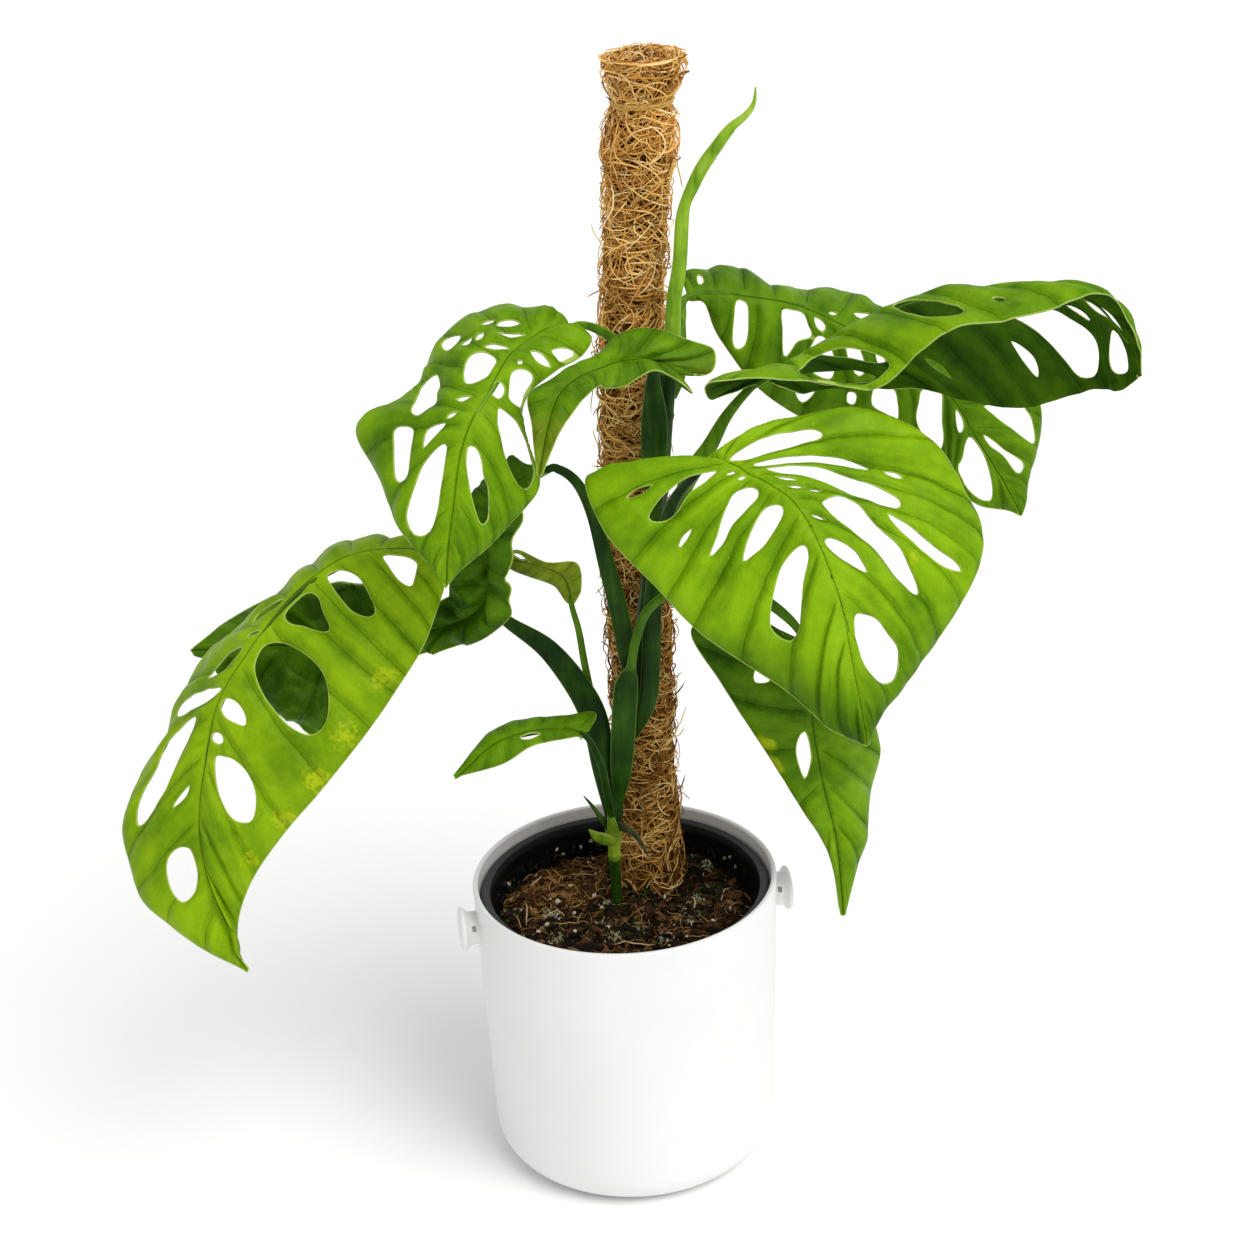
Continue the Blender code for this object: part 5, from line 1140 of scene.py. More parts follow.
def upper_finish(name, greens, tip=None, yellow=(), flecks=()):
    """A leaf's upper skin: sunken veins darkened partly by painted shade, soft light and dark clouds, pale
    edges.

    Yellow patches and flecks have a centre and a reach, in millimetres.
    """
    finish, tree, shader = leaf_finish(name, 0.46, 1.45, 0.08)
    near_vein, out, rim, streaks = leaf_marks(tree)
    fade = span(tree, out, 1.5, 7)
    side_vein = times(tree, span(tree, near_vein, 0.55, 0.1), fade)
    trough = times(tree, span(tree, near_vein, 4.5, 0), fade)
    midrib = span(tree, out, 0.6, 0.2)
    bank = span(tree, out, 3.4, 0.8)
    dark, _, light, pale = greens
    clouds = times(tree, place_noise(tree, 22, 3), 0.6)
    clouds = sum_of(tree, clouds, times(tree, streaks, 0.5))
    mottle = times(tree, place_noise(tree, 120, 4, roughness=0.6), 0.25)
    # Near the side veins the tone darkens and between them it stays lighter: painted shade and light of the
    # quilted swellings.
    tone = less(tree, sum_of(tree, clouds, less(tree, mottle, 0.165)), times(tree, trough, 0.06))
    skin = skin_tone(tree, tone, greens, tip)
    # The side veins' dark lines are partly their own darker green and partly painted shade in their sunken
    # creases.
    skin = blend(tree, times(tree, side_vein, 0.25), skin, (*dark, 1))
    skin = blend(tree, times(tree, bank, 0.35), skin, (*light, 1))
    # The midrib's dark line is painted shade in its groove.
    skin = blend(tree, times(tree, midrib, 0.65), skin, (*dark, 1))
    for patches, grain, cover, strength in ((yellow, 110, 0.85, 0.6), (flecks, 380, 0.58, 0.6)):
        for centre, size in patches:
            far = add_node(tree, "VectorMath", {"operation": "DISTANCE"}, i0=here(tree),
                           i1=[c * MM for c in centre]).outputs["Value"]
            inside = span(tree, far, size * MM, 0, 0, cover)
            ragged = sum_of(tree, inside, place_noise(tree, grain, 4))
            skin = blend(tree, span(tree, ragged, 0.8, 1.15, 0, strength), skin, (0.48, 0.55, 0.01, 1))
    speck = span(tree, place_noise(tree, 500, 2, roughness=0.4), 0.74, 0.8, 0, 0.55)
    skin = blend(tree, speck, skin, (*pale, 1))
    edge = span(tree, rim, 0.9, 0.25, 0, 0.8)
    skin = blend(tree, edge, skin, (0.42, 0.56, 0.1, 1))
    paint(tree, shader, skin)
    polish(tree, shader, span(tree, place_noise(tree, 90, 4), 0.3, 0.7, 0.36, 0.56))
    sunk = less(tree, 1, times(tree, side_vein, 0.25))
    sunk = less(tree, sunk, times(tree, trough, 0.6))
    sunk = less(tree, sunk, times(tree, midrib, 0.5))
    cells = add_node(tree, "TexVoronoi", {"feature": "DISTANCE_TO_EDGE"}, Scale=420.0,
                     Vector=here(tree)).outputs["Distance"]
    fine = sum_of(tree, times(tree, span(tree, cells, 0, 0.3), 0.06),
                  times(tree, place_noise(tree, 240, 4), 0.14))
    relief(tree, shader, sum_of(tree, sunk, fine), 1.8, 0.9)
    return finish


def under_finish(name, greens):
    """A leaf's underside: dull, with raised veins."""
    finish, tree, shader = leaf_finish(name, 0.6, 1.42, 0.06)
    near_vein, out, _, streaks = leaf_marks(tree)
    raised = times(tree, span(tree, near_vein, 0.7, 0.2), span(tree, out, 1, 4))
    trough = times(tree, span(tree, near_vein, 5, 0), 0.12)
    dark, middle, light, _ = greens
    tone = sum_of(tree, times(tree, place_noise(tree, 60, 5, roughness=0.6), 0.5),
                  times(tree, streaks, 0.5))
    tone = less(tree, tone, trough)
    skin = ramp(tree, tone, [(0.25, dark), (0.45, middle), (0.68, light)])
    skin = blend(tree, times(tree, raised, 0.3), skin, (*light, 1))
    paint(tree, shader, skin)
    height = sum_of(tree, raised, times(tree, place_noise(tree, 240, 4), 0.4))
    relief(tree, shader, height, 0.4, 0.7)
    return finish


# The thin pale rim of every blade and window.
leaf_edge = grained("leaf_edge", 0.5, (120, 3), [(0.35, (0.22, 0.36, 0.05)), (0.7, (0.5, 0.6, 0.18))])
under_bright = under_finish("leaf_under", BRIGHT)
under_middle = under_finish("leaf_under_middle", MIDDLE)
under_deep = under_finish("leaf_under_deep", DEEP)
upper_bright = upper_finish("leaf_upper", GREEN)
upper_middle = upper_finish("leaf_upper_middle", MIDDLE)
upper_deep = upper_finish("leaf_upper_deep", DEEP)
stalk_bright = stalk_finish("stalk_bright", (0.03, 0.09, 0.002), (0.07, 0.17, 0.003), (0.14, 0.29, 0.008),
                            (0.2, 0.36, 0.02))
stalk_low = stalk_finish("stalk_low", (0.006, 0.028, 0.0007), (0.016, 0.06, 0.001), (0.04, 0.12, 0.002),
                         (0.13, 0.26, 0.015), 0.46,
                         [(304, 420, ((0.03, 0.09, 0.002), (0.07, 0.17, 0.003), (0.14, 0.29, 0.008)))])
stalk_deep = stalk_finish("stalk_deep", (0.004, 0.02, 0.0005), (0.011, 0.042, 0.0007), (0.03, 0.09, 0.002),
                          (0.09, 0.19, 0.01))


def add_leaf(node, leaf, upper, under, stalk):
    add_blade(node + "_blade", node, leaf, [upper, under, leaf_edge])
    add_stalk(node + "_stalk", node, leaf, stalk)


# Right front leaf: the largest blade, in front of the pole, facing the viewer. Twenty windows lie
# between its side veins, and both margins wave.

LEAF_RIGHT_FRONT = {
    **USUAL_LEAF,
    "quilt": 2.6, "curl": 0.6, "crown": 6,
    "veins": [
        ((50, -50, 436), (54, -52, 435), (54, -54, 433)),
        ((84, -38, 450), (59, -54, 436), (26, -50, 427)),
        ((121, -28, 453), (63, -56, 436), (-8, -52, 432)),
        ((160, -30, 437), (67, -59, 435), (-1, -64, 406)),
        ((180, -38, 417), (72, -62, 432), (21, -76, 382)),
        ((189, -50, 397), (81, -68, 429), (39, -88, 364)),
        ((185, -66, 376), (93, -78, 422), (59, -98, 351)),
        ((168, -86, 353), (103, -92, 407), (78, -108, 339)),
        ((150, -100, 338), (112, -108, 382), (99, -118, 325)),
        ((135, -116, 327), (116, -120, 358), (111, -127, 318)),
        ((124, -134, 316), (123, -135, 315), (121, -136, 316)),
    ],
    "windows": [
        ((473, 7), (496, 10), (490, 22), (482, 33), (486, 46), (473, 58), (460, 44), (435, 28),
         (418, 17), (438, 10)),
        ((576, 7), (589, 12), (584, 30), (570, 40), (553, 47), (540, 34), (533, 17), (550, 10)),
        ((675, 11), (695, 13), (708, 28), (722, 42), (729, 52), (720, 64), (694, 69), (668, 67),
         (655, 53), (646, 35), (656, 20)),
        ((394, 54), (402, 61), (400, 69), (391, 62)),
        ((285, 14), (308, 24), (318, 38), (340, 52), (342, 62), (323, 70), (305, 60), (288, 46),
         (275, 30)),
        ((268, 57), (276, 66), (273, 76), (264, 68)),
        ((338, 5), (330, 9), (317, 10), (324, 5)),
        ((400, 3), (395, 6.5), (380, 7), (386, 3.5)),
        ((155, -5), (162, -18), (185, -30), (217, -42), (242, -55), (272, -52), (283, -38), (285, -22),
         (265, -8), (210, -3.5)),
        ((317, -7), (320, -18), (335, -33), (360, -46), (398, -53), (418, -52), (395, -40), (366, -30),
         (352, -17), (340, -9)),
        ((372, -10), (382, -20), (410, -30), (448, -39), (485, -49), (515, -57), (544, -56), (550, -46),
         (530, -34), (495, -26), (460, -18), (410, -11)),
        ((460, -7), (466, -11), (485, -14), (484, -9)),
        ((520, -7), (514, -11), (522, -13), (531, -9)),
        ((538, -13), (528, -16.5), (533, -20), (544, -17.5)),
        ((631, -5), (627, -8), (633, -12), (637, -8)),
        ((420, -60), (420, -66), (438, -67), (440, -62)),
        ((585, -15), (560, -22), (546, -29), (564, -34), (594, -38), (617, -45), (635, -55), (660, -65),
         (682, -72), (690, -66), (678, -52), (655, -37), (635, -26), (615, -17)),
        ((575, -48), (580, -56), (594, -63), (607, -73), (613, -86), (620, -91), (627, -80), (620, -68),
         (607, -58), (593, -51)),
        ((692, -6), (677, -11), (675, -19), (685, -26), (708, -33), (715, -25), (714, -14), (705, -8)),
        ((815, -14), (796, -25), (784, -40), (795, -55), (805, -70), (840, -78), (868, -79), (890, -65),
         (900, -40), (894, -22), (862, -14)),
    ],
    "petiole": [(8, 1, 257), (17, -5, 280), (20, -6, 305), (22, -5, 335), (26, -9, 366),
                (34, -24, 402), (46, -42, 425), (54, -52, 435)],
    "sizes": [(3, 1.8), (5, 1.8), (5.2, 1.8), (5, 2), (4.2, 2), (3.2, 2), (2.4, 2), (2, 1.8)],
}
# The tip turns to shaded greens as it hangs down from 370 mm to 318 mm: painted shade.
front_upper = upper_finish("leaf_front_upper", BRIGHT, (SHADED, 370, 318), flecks=[((151, -79, 390), 8)])
add_leaf("leaf_right_front", LEAF_RIGHT_FRONT, front_upper, under_bright, stalk_deep)


# Right low leaf: it hangs steeply on an arched stalk behind the front leaf, with a yellow patch and
# two windows. Its upper part is painted dark green as painted shadow of the front leaf, and it is
# brighter green lower down. The broad sheath of its stalk wraps the stem.

LEAF_RIGHT_LOW = {
    **USUAL_LEAF,
    "vein_gap": 0.8, "quilt": 1.8, "crown": 4, "wave": 2.5,
    "veins": [
        ((104, -8, 316), (101, -10, 317), (97, -12, 316)),
        ((125, 2, 299), (102, -12, 311), (67, -4, 332)),
        ((137, 6, 270), (103, -16, 301), (42, -8, 323)),
        ((141, 2, 244), (104, -22, 282), (57, -16, 295)),
        ((140, -6, 223), (106, -27, 261), (75, -24, 264)),
        ((135, -15, 203), (110, -30, 235), (95, -28, 228)),
        ((128, -24, 184), (116, -31, 204), (112, -30, 196)),
        ((121, -30, 156), (120, -30, 155), (118, -30, 156)),
    ],
    "windows": [
        ((370, 14), (415, 38), (465, 42), (430, 14)),
        ((235, 34), (245, 48), (275, 56), (265, 40)),
    ],
    "petiole": [(-1, 0, 219), (1.5, -5, 243), (4, -8, 272), (6, -9.5, 291), (7.8, -11.2, 300),
                (9.2, -12.6, 305), (12, -15, 321),
                (19, -16, 339), (33, -14, 349), (52, -5, 350), (72, -4, 343), (90, -7, 331),
                (101, -10, 317)],
    "sizes": [(3.2, 2.4), (6.2, 2), (6.8, 2), (6.6, 2), (4.8, 2.1), (2.7, 2), (2.5, 2), (2.5, 2),
              (2.6, 2.2), (3, 2.4),
              (3.2, 2.4), (2.8, 2.2), (2, 1.8)],
}
YELLOW_PATCH = [((80, -25, 263), 12), ((85, -25, 250), 12)]
# Dark greens above turn to brighter ones between 300 mm and 225 mm: painted shadow of the front leaf on the
# upper part.
add_leaf("leaf_right_low", LEAF_RIGHT_LOW,
         upper_finish("leaf_low_upper_painted_shadow", DEEP, (GREEN, 300, 225), YELLOW_PATCH), under_deep, stalk_low)


# Right high leaf: a long blade that reaches out to the right, folded along its midrib and cut by
# eleven windows. Its sheathed stalk grows from the upper half of the stem.

LEAF_RIGHT_HIGH = {
    **USUAL_LEAF,
    "quilt": 1.9,
    "veins": [
        ((87, 2, 461), (84, 0, 459), (81, -3, 458)),
        ((90, 10, 453), (86, 1, 460), (56, -18, 456)),
        ((104, 20, 444), (87, 2, 461), (56, -28, 470)),
        ((123, 26, 442), (91, 4, 463), (100, -30, 467)),
        ((145, 32, 441), (98, 8, 467), (135, -30, 463)),
        ((168, 38, 437), (115, 12, 474), (157, -30, 478)),
        ((193, 40, 427), (141, 17, 486), (183, -30, 491)),
        ((222, 38, 425), (169, 19, 495), (211, -26, 497)),
        ((250, 32, 430), (200, 18, 495), (239, -20, 499)),
        ((264, 22, 437), (233, 14, 495), (259, -14, 497)),
        ((272, 10, 442), (257, 5, 490), (270, -10, 484)),
        ((275, 0, 449), (270, -4, 474), (274, -8, 467)),
        ((275, -7, 455), (276, -8, 454), (277, -9, 455)),
    ],
    "windows": [
        ((330, 55), (395, 28), (445, 28), (472, 45), (478, 70), (472, 88), (440, 92), (405, 92),
         (360, 92), (320, 88)),
        ((635, 9), (650, 20), (654, 45), (654, 66), (638, 78), (612, 80), (595, 68), (600, 42),
         (615, 20)),
        ((715, 63), (727, 62), (729, 68), (715, 71)),
        ((430, -7), (462, -6), (493, -13), (520, -28), (542, -45), (536, -55), (505, -55), (478, -41),
         (454, -22)),
        ((290, -47), (350, -42), (394, -54), (435, -64), (450, -78), (405, -87), (343, -88), (295, -82)),
        ((608, -56), (620, -58), (626, -66), (620, -77), (608, -66)),
        ((768, -49), (778, -56), (782, -64), (775, -74), (762, -81), (760, -72), (762, -60)),
        ((805, -24), (835, -22), (865, -20), (888, -24), (910, -34), (935, -44), (940, -56), (928, -70),
         (905, -83), (875, -90), (840, -88), (833, -70), (828, -50), (818, -35)),
        ((910, -16), (925, -17), (945, -22), (952, -30), (935, -27), (918, -21)),
        ((960, -5), (990, -5), (1025, -6), (1060, -7), (1075, -14), (1040, -20), (1000, -18),
         (975, -15)),
        ((1005, -34), (1022, -34), (1038, -46), (1042, -66), (1033, -82), (975, -84), (960, -76),
         (975, -58)),
    ],
    "petiole": [(26, 3, 355), (35, -1, 384), (41, -6, 403), (48, -10, 418), (55, -10, 428),
                (64, -8, 443), (76, -3, 455), (84, 0, 459)],
    "sizes": [(2.6, 2.4), (3.4, 2.2), (4.2, 2.2), (4.6, 2.2), (4.2, 2.2), (3, 2.2), (2.2, 2),
              (2, 1.8)],
}
# Its underside, in the shade of the folded upper half, is painted in deep greens: painted shade.
add_leaf("leaf_right_high", LEAF_RIGHT_HIGH, upper_bright, under_deep, stalk_bright)


# Right back leaf: a broad blade behind the others, cut by seventeen windows, on a short stalk that
# grows from the top of the stem and passes beside the pole.

LEAF_RIGHT_BACK = {
    **USUAL_LEAF,
    "quilt": 1.9,
    "veins": [
        ((47, 40, 495), (48, 38, 493), (49, 37, 491)),
        ((46, 60, 500), (52, 40, 494), (57, 38, 488)),
        ((59, 74, 497), (65, 45, 492), (65, 40, 468)),
        ((75, 84, 491), (83, 50, 487), (81, 46, 441)),
        ((91, 91, 480), (102, 56, 481), (104, 52, 420)),
        ((113, 98, 474), (121, 62, 471), (133, 56, 402)),
        ((136, 102, 469), (140, 67, 458), (158, 58, 393)),
        ((158, 105, 463), (159, 70, 445), (177, 58, 387)),
        ((188, 105, 452), (176, 71, 433), (185, 57, 383)),
        ((215, 100, 435), (187, 70, 423), (188, 56, 380)),
        ((236, 93, 416), (196, 68, 410), (193, 56, 369)),
        ((241, 86, 403), (204, 66, 395), (203, 56, 361)),
        ((239, 77, 383), (212, 63, 382), (213, 56, 358)),
        ((233, 68, 368), (220, 60, 368), (221, 57, 356)),
        ((229, 59, 354), (228, 58, 352), (226, 58, 353)),
    ],
    "windows": [
        ((1005, -27), (1020, -44), (1053, -72), (1088, -78), (1129, -82), (1172, -88), (1172, -76),
         (1132, -54), (1070, -38)),
        ((1093, -10), (1115, -16), (1164, -28), (1205, -48), (1228, -62), (1250, -60), (1258, -46),
         (1234, -34), (1187, -24), (1140, -12)),
        ((950, 11), (977, 6), (997, 8), (1002, 15), (983, 28), (958, 33), (948, 24)),
        ((1035, 19), (1085, 8), (1138, 8), (1164, 24), (1182, 55), (1176, 80), (1150, 87), (1080, 89),
         (1040, 86), (1012, 80), (975, 74), (995, 58), (1008, 36)),
        ((755, 25), (810, 15), (866, 9), (860, 22), (825, 50), (810, 67), (773, 82), (720, 78),
         (697, 70), (696, 58), (726, 40)),
        ((580, 48), (610, 42), (645, 40), (643, 50), (625, 68), (598, 66), (565, 62)),
        ((510, 58), (529, 57), (520, 66), (505, 67)),
        ((392, 72), (413, 68), (440, 64), (436, 73), (417, 85), (403, 82)),
        ((375, 8), (408, 5), (436, 5), (442, 13), (445, 22), (405, 32), (372, 50), (370, 26)),
        ((465, 5), (486, 5), (494, 9), (478, 14), (465, 12)),
        ((462, 20), (488, 20), (495, 34), (480, 50), (460, 54), (435, 52), (428, 42), (442, 30)),
        ((545, 12), (575, 10), (578, 22), (566, 35), (542, 40), (533, 28)),
        ((630, 10), (652, 8), (650, 22), (625, 24)),
        ((248, 9), (276, 8), (279, 24), (274, 55), (260, 72), (243, 81), (234, 70), (237, 35)),
        ((136, -46), (152, -57), (155, -38), (143, -22), (126, -24)),
        ((513, -9), (525, -17), (536, -16.5), (526, -11)),
        ((580, -28), (598, -37), (630, -46), (622, -33), (594, -25)),
    ],
    "petiole": [(37, 8, 449), (42, 14, 460), (43, 22, 475), (44, 30, 485), (48, 38, 493)],
    "sizes": [(2.4, 2.2), (2.8, 2.2), (2.8, 2.2), (2.4, 2), (2, 1.8)],
}
add_leaf("leaf_right_back", LEAF_RIGHT_BACK, upper_middle, under_bright, stalk_bright)


# Left high leaf: it leans out over the left side, with rows of small and large windows. Its thin
# stalk grows from the top of the stem and crosses in front of the pole.

LEAF_LEFT_HIGH = {
    **USUAL_LEAF,
    "vein_gap": 0.8, "quilt": 2, "face_size": 2.2, "wave": 2.5,
    "veins": [
        ((-9, -20, 497), (-13, -18, 498), (-15, -14, 499)),
        ((-3, -32, 495), (-24, -26, 501), (-24, -4, 503)),
        ((-11, -42, 489), (-34, -37, 499), (-46, 6, 504)),
        ((-22, -51, 485), (-43, -49, 496), (-67, 4, 496)),
        ((-34, -58, 478), (-49, -61, 491), (-84, -10, 488)),
        ((-37, -66, 457), (-55, -72, 483), (-96, -30, 470)),
        ((-33, -75, 436), (-63, -84, 474), (-120, -46, 460)),
        ((-41, -86, 426), (-69, -92, 459), (-113, -66, 443)),
        ((-54, -95, 418), (-73, -99, 438), (-102, -83, 424)),
        ((-67, -102, 409), (-77, -104, 417), (-87, -98, 408)),
        ((-78, -106, 399), (-79, -106, 397), (-80, -106, 399)),
    ],
    "windows": [
        ((662, 14), (695, 12), (748, 15), (804, 22), (840, 36), (846, 60), (833, 78), (806, 77),
         (775, 64), (742, 49), (706, 37), (680, 26)),
        ((625, 43), (656, 45), (692, 51), (721, 58), (728, 70), (715, 75), (690, 71), (656, 64),
         (620, 61), (615, 50)),
        ((608, 17), (612, 24), (625, 30), (650, 33), (666, 34), (652, 27), (633, 20)),
        ((462, 66), (462, 80), (480, 87), (510, 76), (540, 62), (580, 50), (590, 42), (575, 38),
         (550, 37), (520, 46)),
        ((366, 7), (355, 15), (364, 26), (390, 35), (420, 36), (455, 30), (474, 24), (464, 14), (435, 7),
         (395, 6)),
        ((516, 11), (524, 18), (534, 21), (538, 15)),
        ((575, 12), (583, 17), (594, 17), (588, 13)),
        ((352, 68), (362, 82), (379, 88), (393, 83), (402, 70), (390, 64), (370, 63)),
        ((340, 50), (360, 55), (376, 55.5), (364, 48)),
        ((310, 42), (328, 46), (343, 43), (326, 39)),
        ((258, 53), (277, 59), (296, 56), (280, 50)),
        ((205, 26), (223, 39), (252, 45), (268, 41), (244, 31)),
        ((208, 8), (248, 20), (282, 29), (254, 15)),
        ((290, 5), (308, 17), (334, 27), (346, 28), (328, 16)),
        ((660, -7), (650, -15), (670, -25), (694, -33), (710, -43), (744, -54), (777, -62), (796, -58),
         (788, -45), (765, -31), (738, -20), (702, -11)),
        ((510, -23), (503, -42), (500, -68), (520, -86), (570, -86), (625, -87), (645, -78), (635, -60),
         (606, -42), (565, -30), (535, -24)),
        ((470, -4), (446, -4), (434, -12), (446, -23), (470, -23), (486, -17), (486, -9)),
        ((390, -28), (368, -43), (360, -70), (375, -86), (410, -88), (440, -86), (462, -60), (464, -38),
         (430, -33)),
        ((276, -32), (265, -46), (282, -66), (302, -86), (312, -74), (307, -54)),
        ((230, -58), (196, -66), (176, -82), (185, -90), (220, -90), (255, -88), (248, -76)),
        ((340, -26), (330, -31), (342, -37), (354, -33)),
    ],
    "petiole": [(34, 4, 464), (29, -1, 469), (22, -2, 477), (11, -3, 484), (0, -8, 493),
                (-8, -15, 498), (-13, -18, 498)],
    "sizes": [(2.4, 2), (2.8, 2), (2.8, 2), (2.8, 2), (2.4, 1.8), (2, 1.7), (1.8, 1.6)],
}
add_leaf("leaf_left_high", LEAF_LEFT_HIGH, upper_bright, under_bright, stalk_bright)


# Left low leaf: a broad hanging blade with windows in both halves and a band of yellow flecks. The
# broad sheath of its stalk wraps the stem just above the lowest node.

LEAF_LEFT_LOW = {
    **USUAL_LEAF,
    "quilt": 2.2, "curl": 0.6,
    "veins": [
        ((-91, -13, 375), (-93, -11, 376), (-95, -8, 377)),
        ((-85, -32, 368), (-105, -20, 383), (-105, 2, 378)),
        ((-89, -48, 359), (-120, -28, 387), (-122, 12, 373)),
        ((-98, -60, 342), (-137, -35, 386), (-146, 16, 362)),
        ((-112, -70, 325), (-156, -42, 376), (-171, 14, 346)),
        ((-130, -78, 303), (-171, -49, 363), (-200, 6, 326)),
        ((-152, -86, 279), (-188, -57, 344), (-224, -8, 306)),
        ((-172, -91, 259), (-203, -65, 323), (-244, -26, 279)),
        ((-189, -94, 237), (-211, -74, 296), (-260, -50, 255)),
        ((-198, -96, 219), (-217, -84, 264), (-258, -70, 233)),
        ((-202, -97, 205), (-215, -91, 235), (-252, -86, 218)),
        ((-202, -98, 193), (-207, -96, 208), (-225, -96, 199)),
        ((-198, -99, 182), (-199, -99, 180), (-201, -99, 182)),
    ],
    "windows": [
        ((200, -14), (215, -27), (224, -46), (212, -59), (190, -58), (135, -42), (145, -22)),
        ((350, -7), (318, -10), (300, -21), (305, -35), (320, -51), (340, -51), (358, -40), (360, -28),
         (357, -15)),
        ((485, -6), (440, -6), (407, -8), (397, -15), (408, -24), (420, -36), (440, -33), (465, -21),
         (485, -13)),
        ((568, -8), (545, -10), (522, -17), (502, -29), (490, -42), (490, -54), (508, -66), (535, -74),
         (565, -71), (588, -57), (600, -40), (604, -24), (595, -12)),
        ((700, -5), (678, -7), (662, -15), (657, -25), (668, -30), (688, -21), (702, -11)),
        ((760, -4), (745, -7), (730, -14), (730, -19), (744, -16), (758, -8)),
        ((772, -15), (745, -25), (724, -37), (712, -52), (720, -66), (748, -73), (772, -67), (795, -54),
         (805, -38), (800, -22)),
        ((460, 6), (478, 18), (500, 27), (522, 21), (510, 12), (485, 5)),
        ((545, 3), (550, 10), (558, 12), (554, 5)),
        ((582, 10), (587, 26), (610, 34), (635, 36), (633, 24), (610, 12)),
        ((672, 5), (663, 28), (660, 58), (666, 76), (688, 58), (693, 36), (692, 14), (684, 5)),
        ((715, 22), (722, 43), (736, 58), (773, 60), (798, 68), (822, 74), (850, 76), (850, 61),
         (828, 44), (805, 35), (778, 28), (745, 20)),
        ((837, 13), (843, 21), (856, 30), (857, 24), (850, 15)),
        ((950, 11), (990, 11), (1018, 22), (1028, 42), (1015, 50), (975, 48), (938, 41), (928, 28),
         (935, 16)),
    ],
    "petiole": [(-6, 2.5, 207), (-9.5, 0, 238), (-11, 0, 263), (-18, 4, 283), (-35, 10, 307),
                (-56, 14, 323), (-70, 12, 339), (-80, 5, 357), (-88, -3, 370), (-93, -11, 376)],
    "sizes": [(3, 2.2), (5.2, 2), (7.4, 2), (7.2, 2), (5.8, 2), (3.4, 2.2), (2.6, 2.2), (2.4, 2),
              (2.2, 1.8), (2, 1.8)],
}
LEAF_FLECKS = [((-117, -67, 333), 16), ((-138, -79, 306), 18), ((-153, -87, 286), 20),
               ((-173, -88, 264), 15), ((-191, -94, 245), 11)]
add_leaf("leaf_left_low", LEAF_LEFT_LOW,
         upper_finish("leaf_left_low_upper", YELLOWED, flecks=LEAF_FLECKS), under_bright, stalk_deep)


# Left curled leaf: an older, dark blade, crumpled and curled under along its margins. It hangs
# behind the left low leaf, on a long stalk from the middle of the stem.

LEAF_LEFT_CURLED = {
    **USUAL_LEAF,
    "vein_gap": 0.7, "quilt": 1.5, "crumple": 11, "curl": 0.8, "crown": 4,
    "veins": [
        ((-29, -4, 414), (-31, -2, 415), (-33, 0, 417)),
        ((-36, -12, 409), (-44, -5, 412), (-52, 6, 419)),
        ((-43, -20, 400), (-56, -9, 402), (-70, 4, 399)),
        ((-49, -24, 375), (-62, -13, 383), (-80, -4, 375)),
        ((-53, -22, 348), (-62, -13, 360), (-84, -10, 357)),
        ((-65, -10, 327), (-69, -8, 341), (-88, -4, 346)),
        ((-93, 4, 312), (-89, 4, 326), (-112, 12, 344)),
        ((-118, 16, 298), (-118, 16, 317), (-140, 24, 345)),
        ((-157, 28, 252), (-152, 24, 309), (-169, 34, 341)),
        ((-195, 32, 275), (-190, 29, 309), (-203, 36, 326)),
        ((-230, 31, 304), (-232, 31, 307), (-230, 31, 309)),
    ],
    "petiole": [(9, 1, 288), (7, -6, 313), (4, -8, 337), (-1, -8, 363), (-7, -6, 391),
                (-14, -4, 408), (-23, -3, 416), (-31, -2, 415)],
    "sizes": [(3, 1.8), (5, 2), (5, 2), (4.6, 2), (3.4, 2), (2.8, 2), (2.4, 2), (2, 1.8)],
}
add_leaf("leaf_left_curled", LEAF_LEFT_CURLED, upper_deep, under_deep, stalk_deep)


# Pole front leaf: a small whole blade that folds over in front of the pole, with a tip that hangs
# down. The broad sheath of its stalk wraps the upper stem.

LEAF_POLE_FRONT = {
    **USUAL_LEAF,
    "vein_gap": 0.7, "quilt": 0.5, "curl": 0.4, "face_size": 1.8, "crown": 3, "wave": 2,
    "veins": [
        ((28, -23, 476), (27, -20, 478), (28, -17, 480)),
        ((36, -26, 472), (26, -20, 479), (54, -20, 469)),
        ((47, -32, 466), (25, -22, 480), (58, -12, 480)),
        ((28, -38, 478), (21, -26, 482), (38, -8, 488)),
        ((13, -46, 476), (11, -33, 484), (16, -14, 494)),
        ((2, -58, 479), (0, -48, 486), (-3, -37, 488)),
        ((-2, -74, 484), (-11, -70, 489), (-19, -66, 489)),
        ((-11, -84, 481), (-20, -79, 483), (-34, -77, 485)),
        ((-20, -90, 468), (-26, -87, 468), (-33, -85, 470)),
        ((-29, -92, 449), (-31, -92, 447), (-32, -92, 449)),
    ],
    "petiole": [(25, 1, 379), (26, -5, 415), (27, -9, 443), (27, -14, 464), (27, -20, 478)],
    "sizes": [(3, 2.2), (6.5, 2), (6.8, 2), (4, 1.8), (2, 1.6)],
}
add_leaf("leaf_pole_front", LEAF_POLE_FRONT,
         upper_finish("leaf_pole_upper", MIDDLE, (OLIVE, 482, 468)), under_middle, stalk_deep)


# Left small leaf: a young blade with one window, low over the pot, on a thin stalk from the stem's
# lowest node.

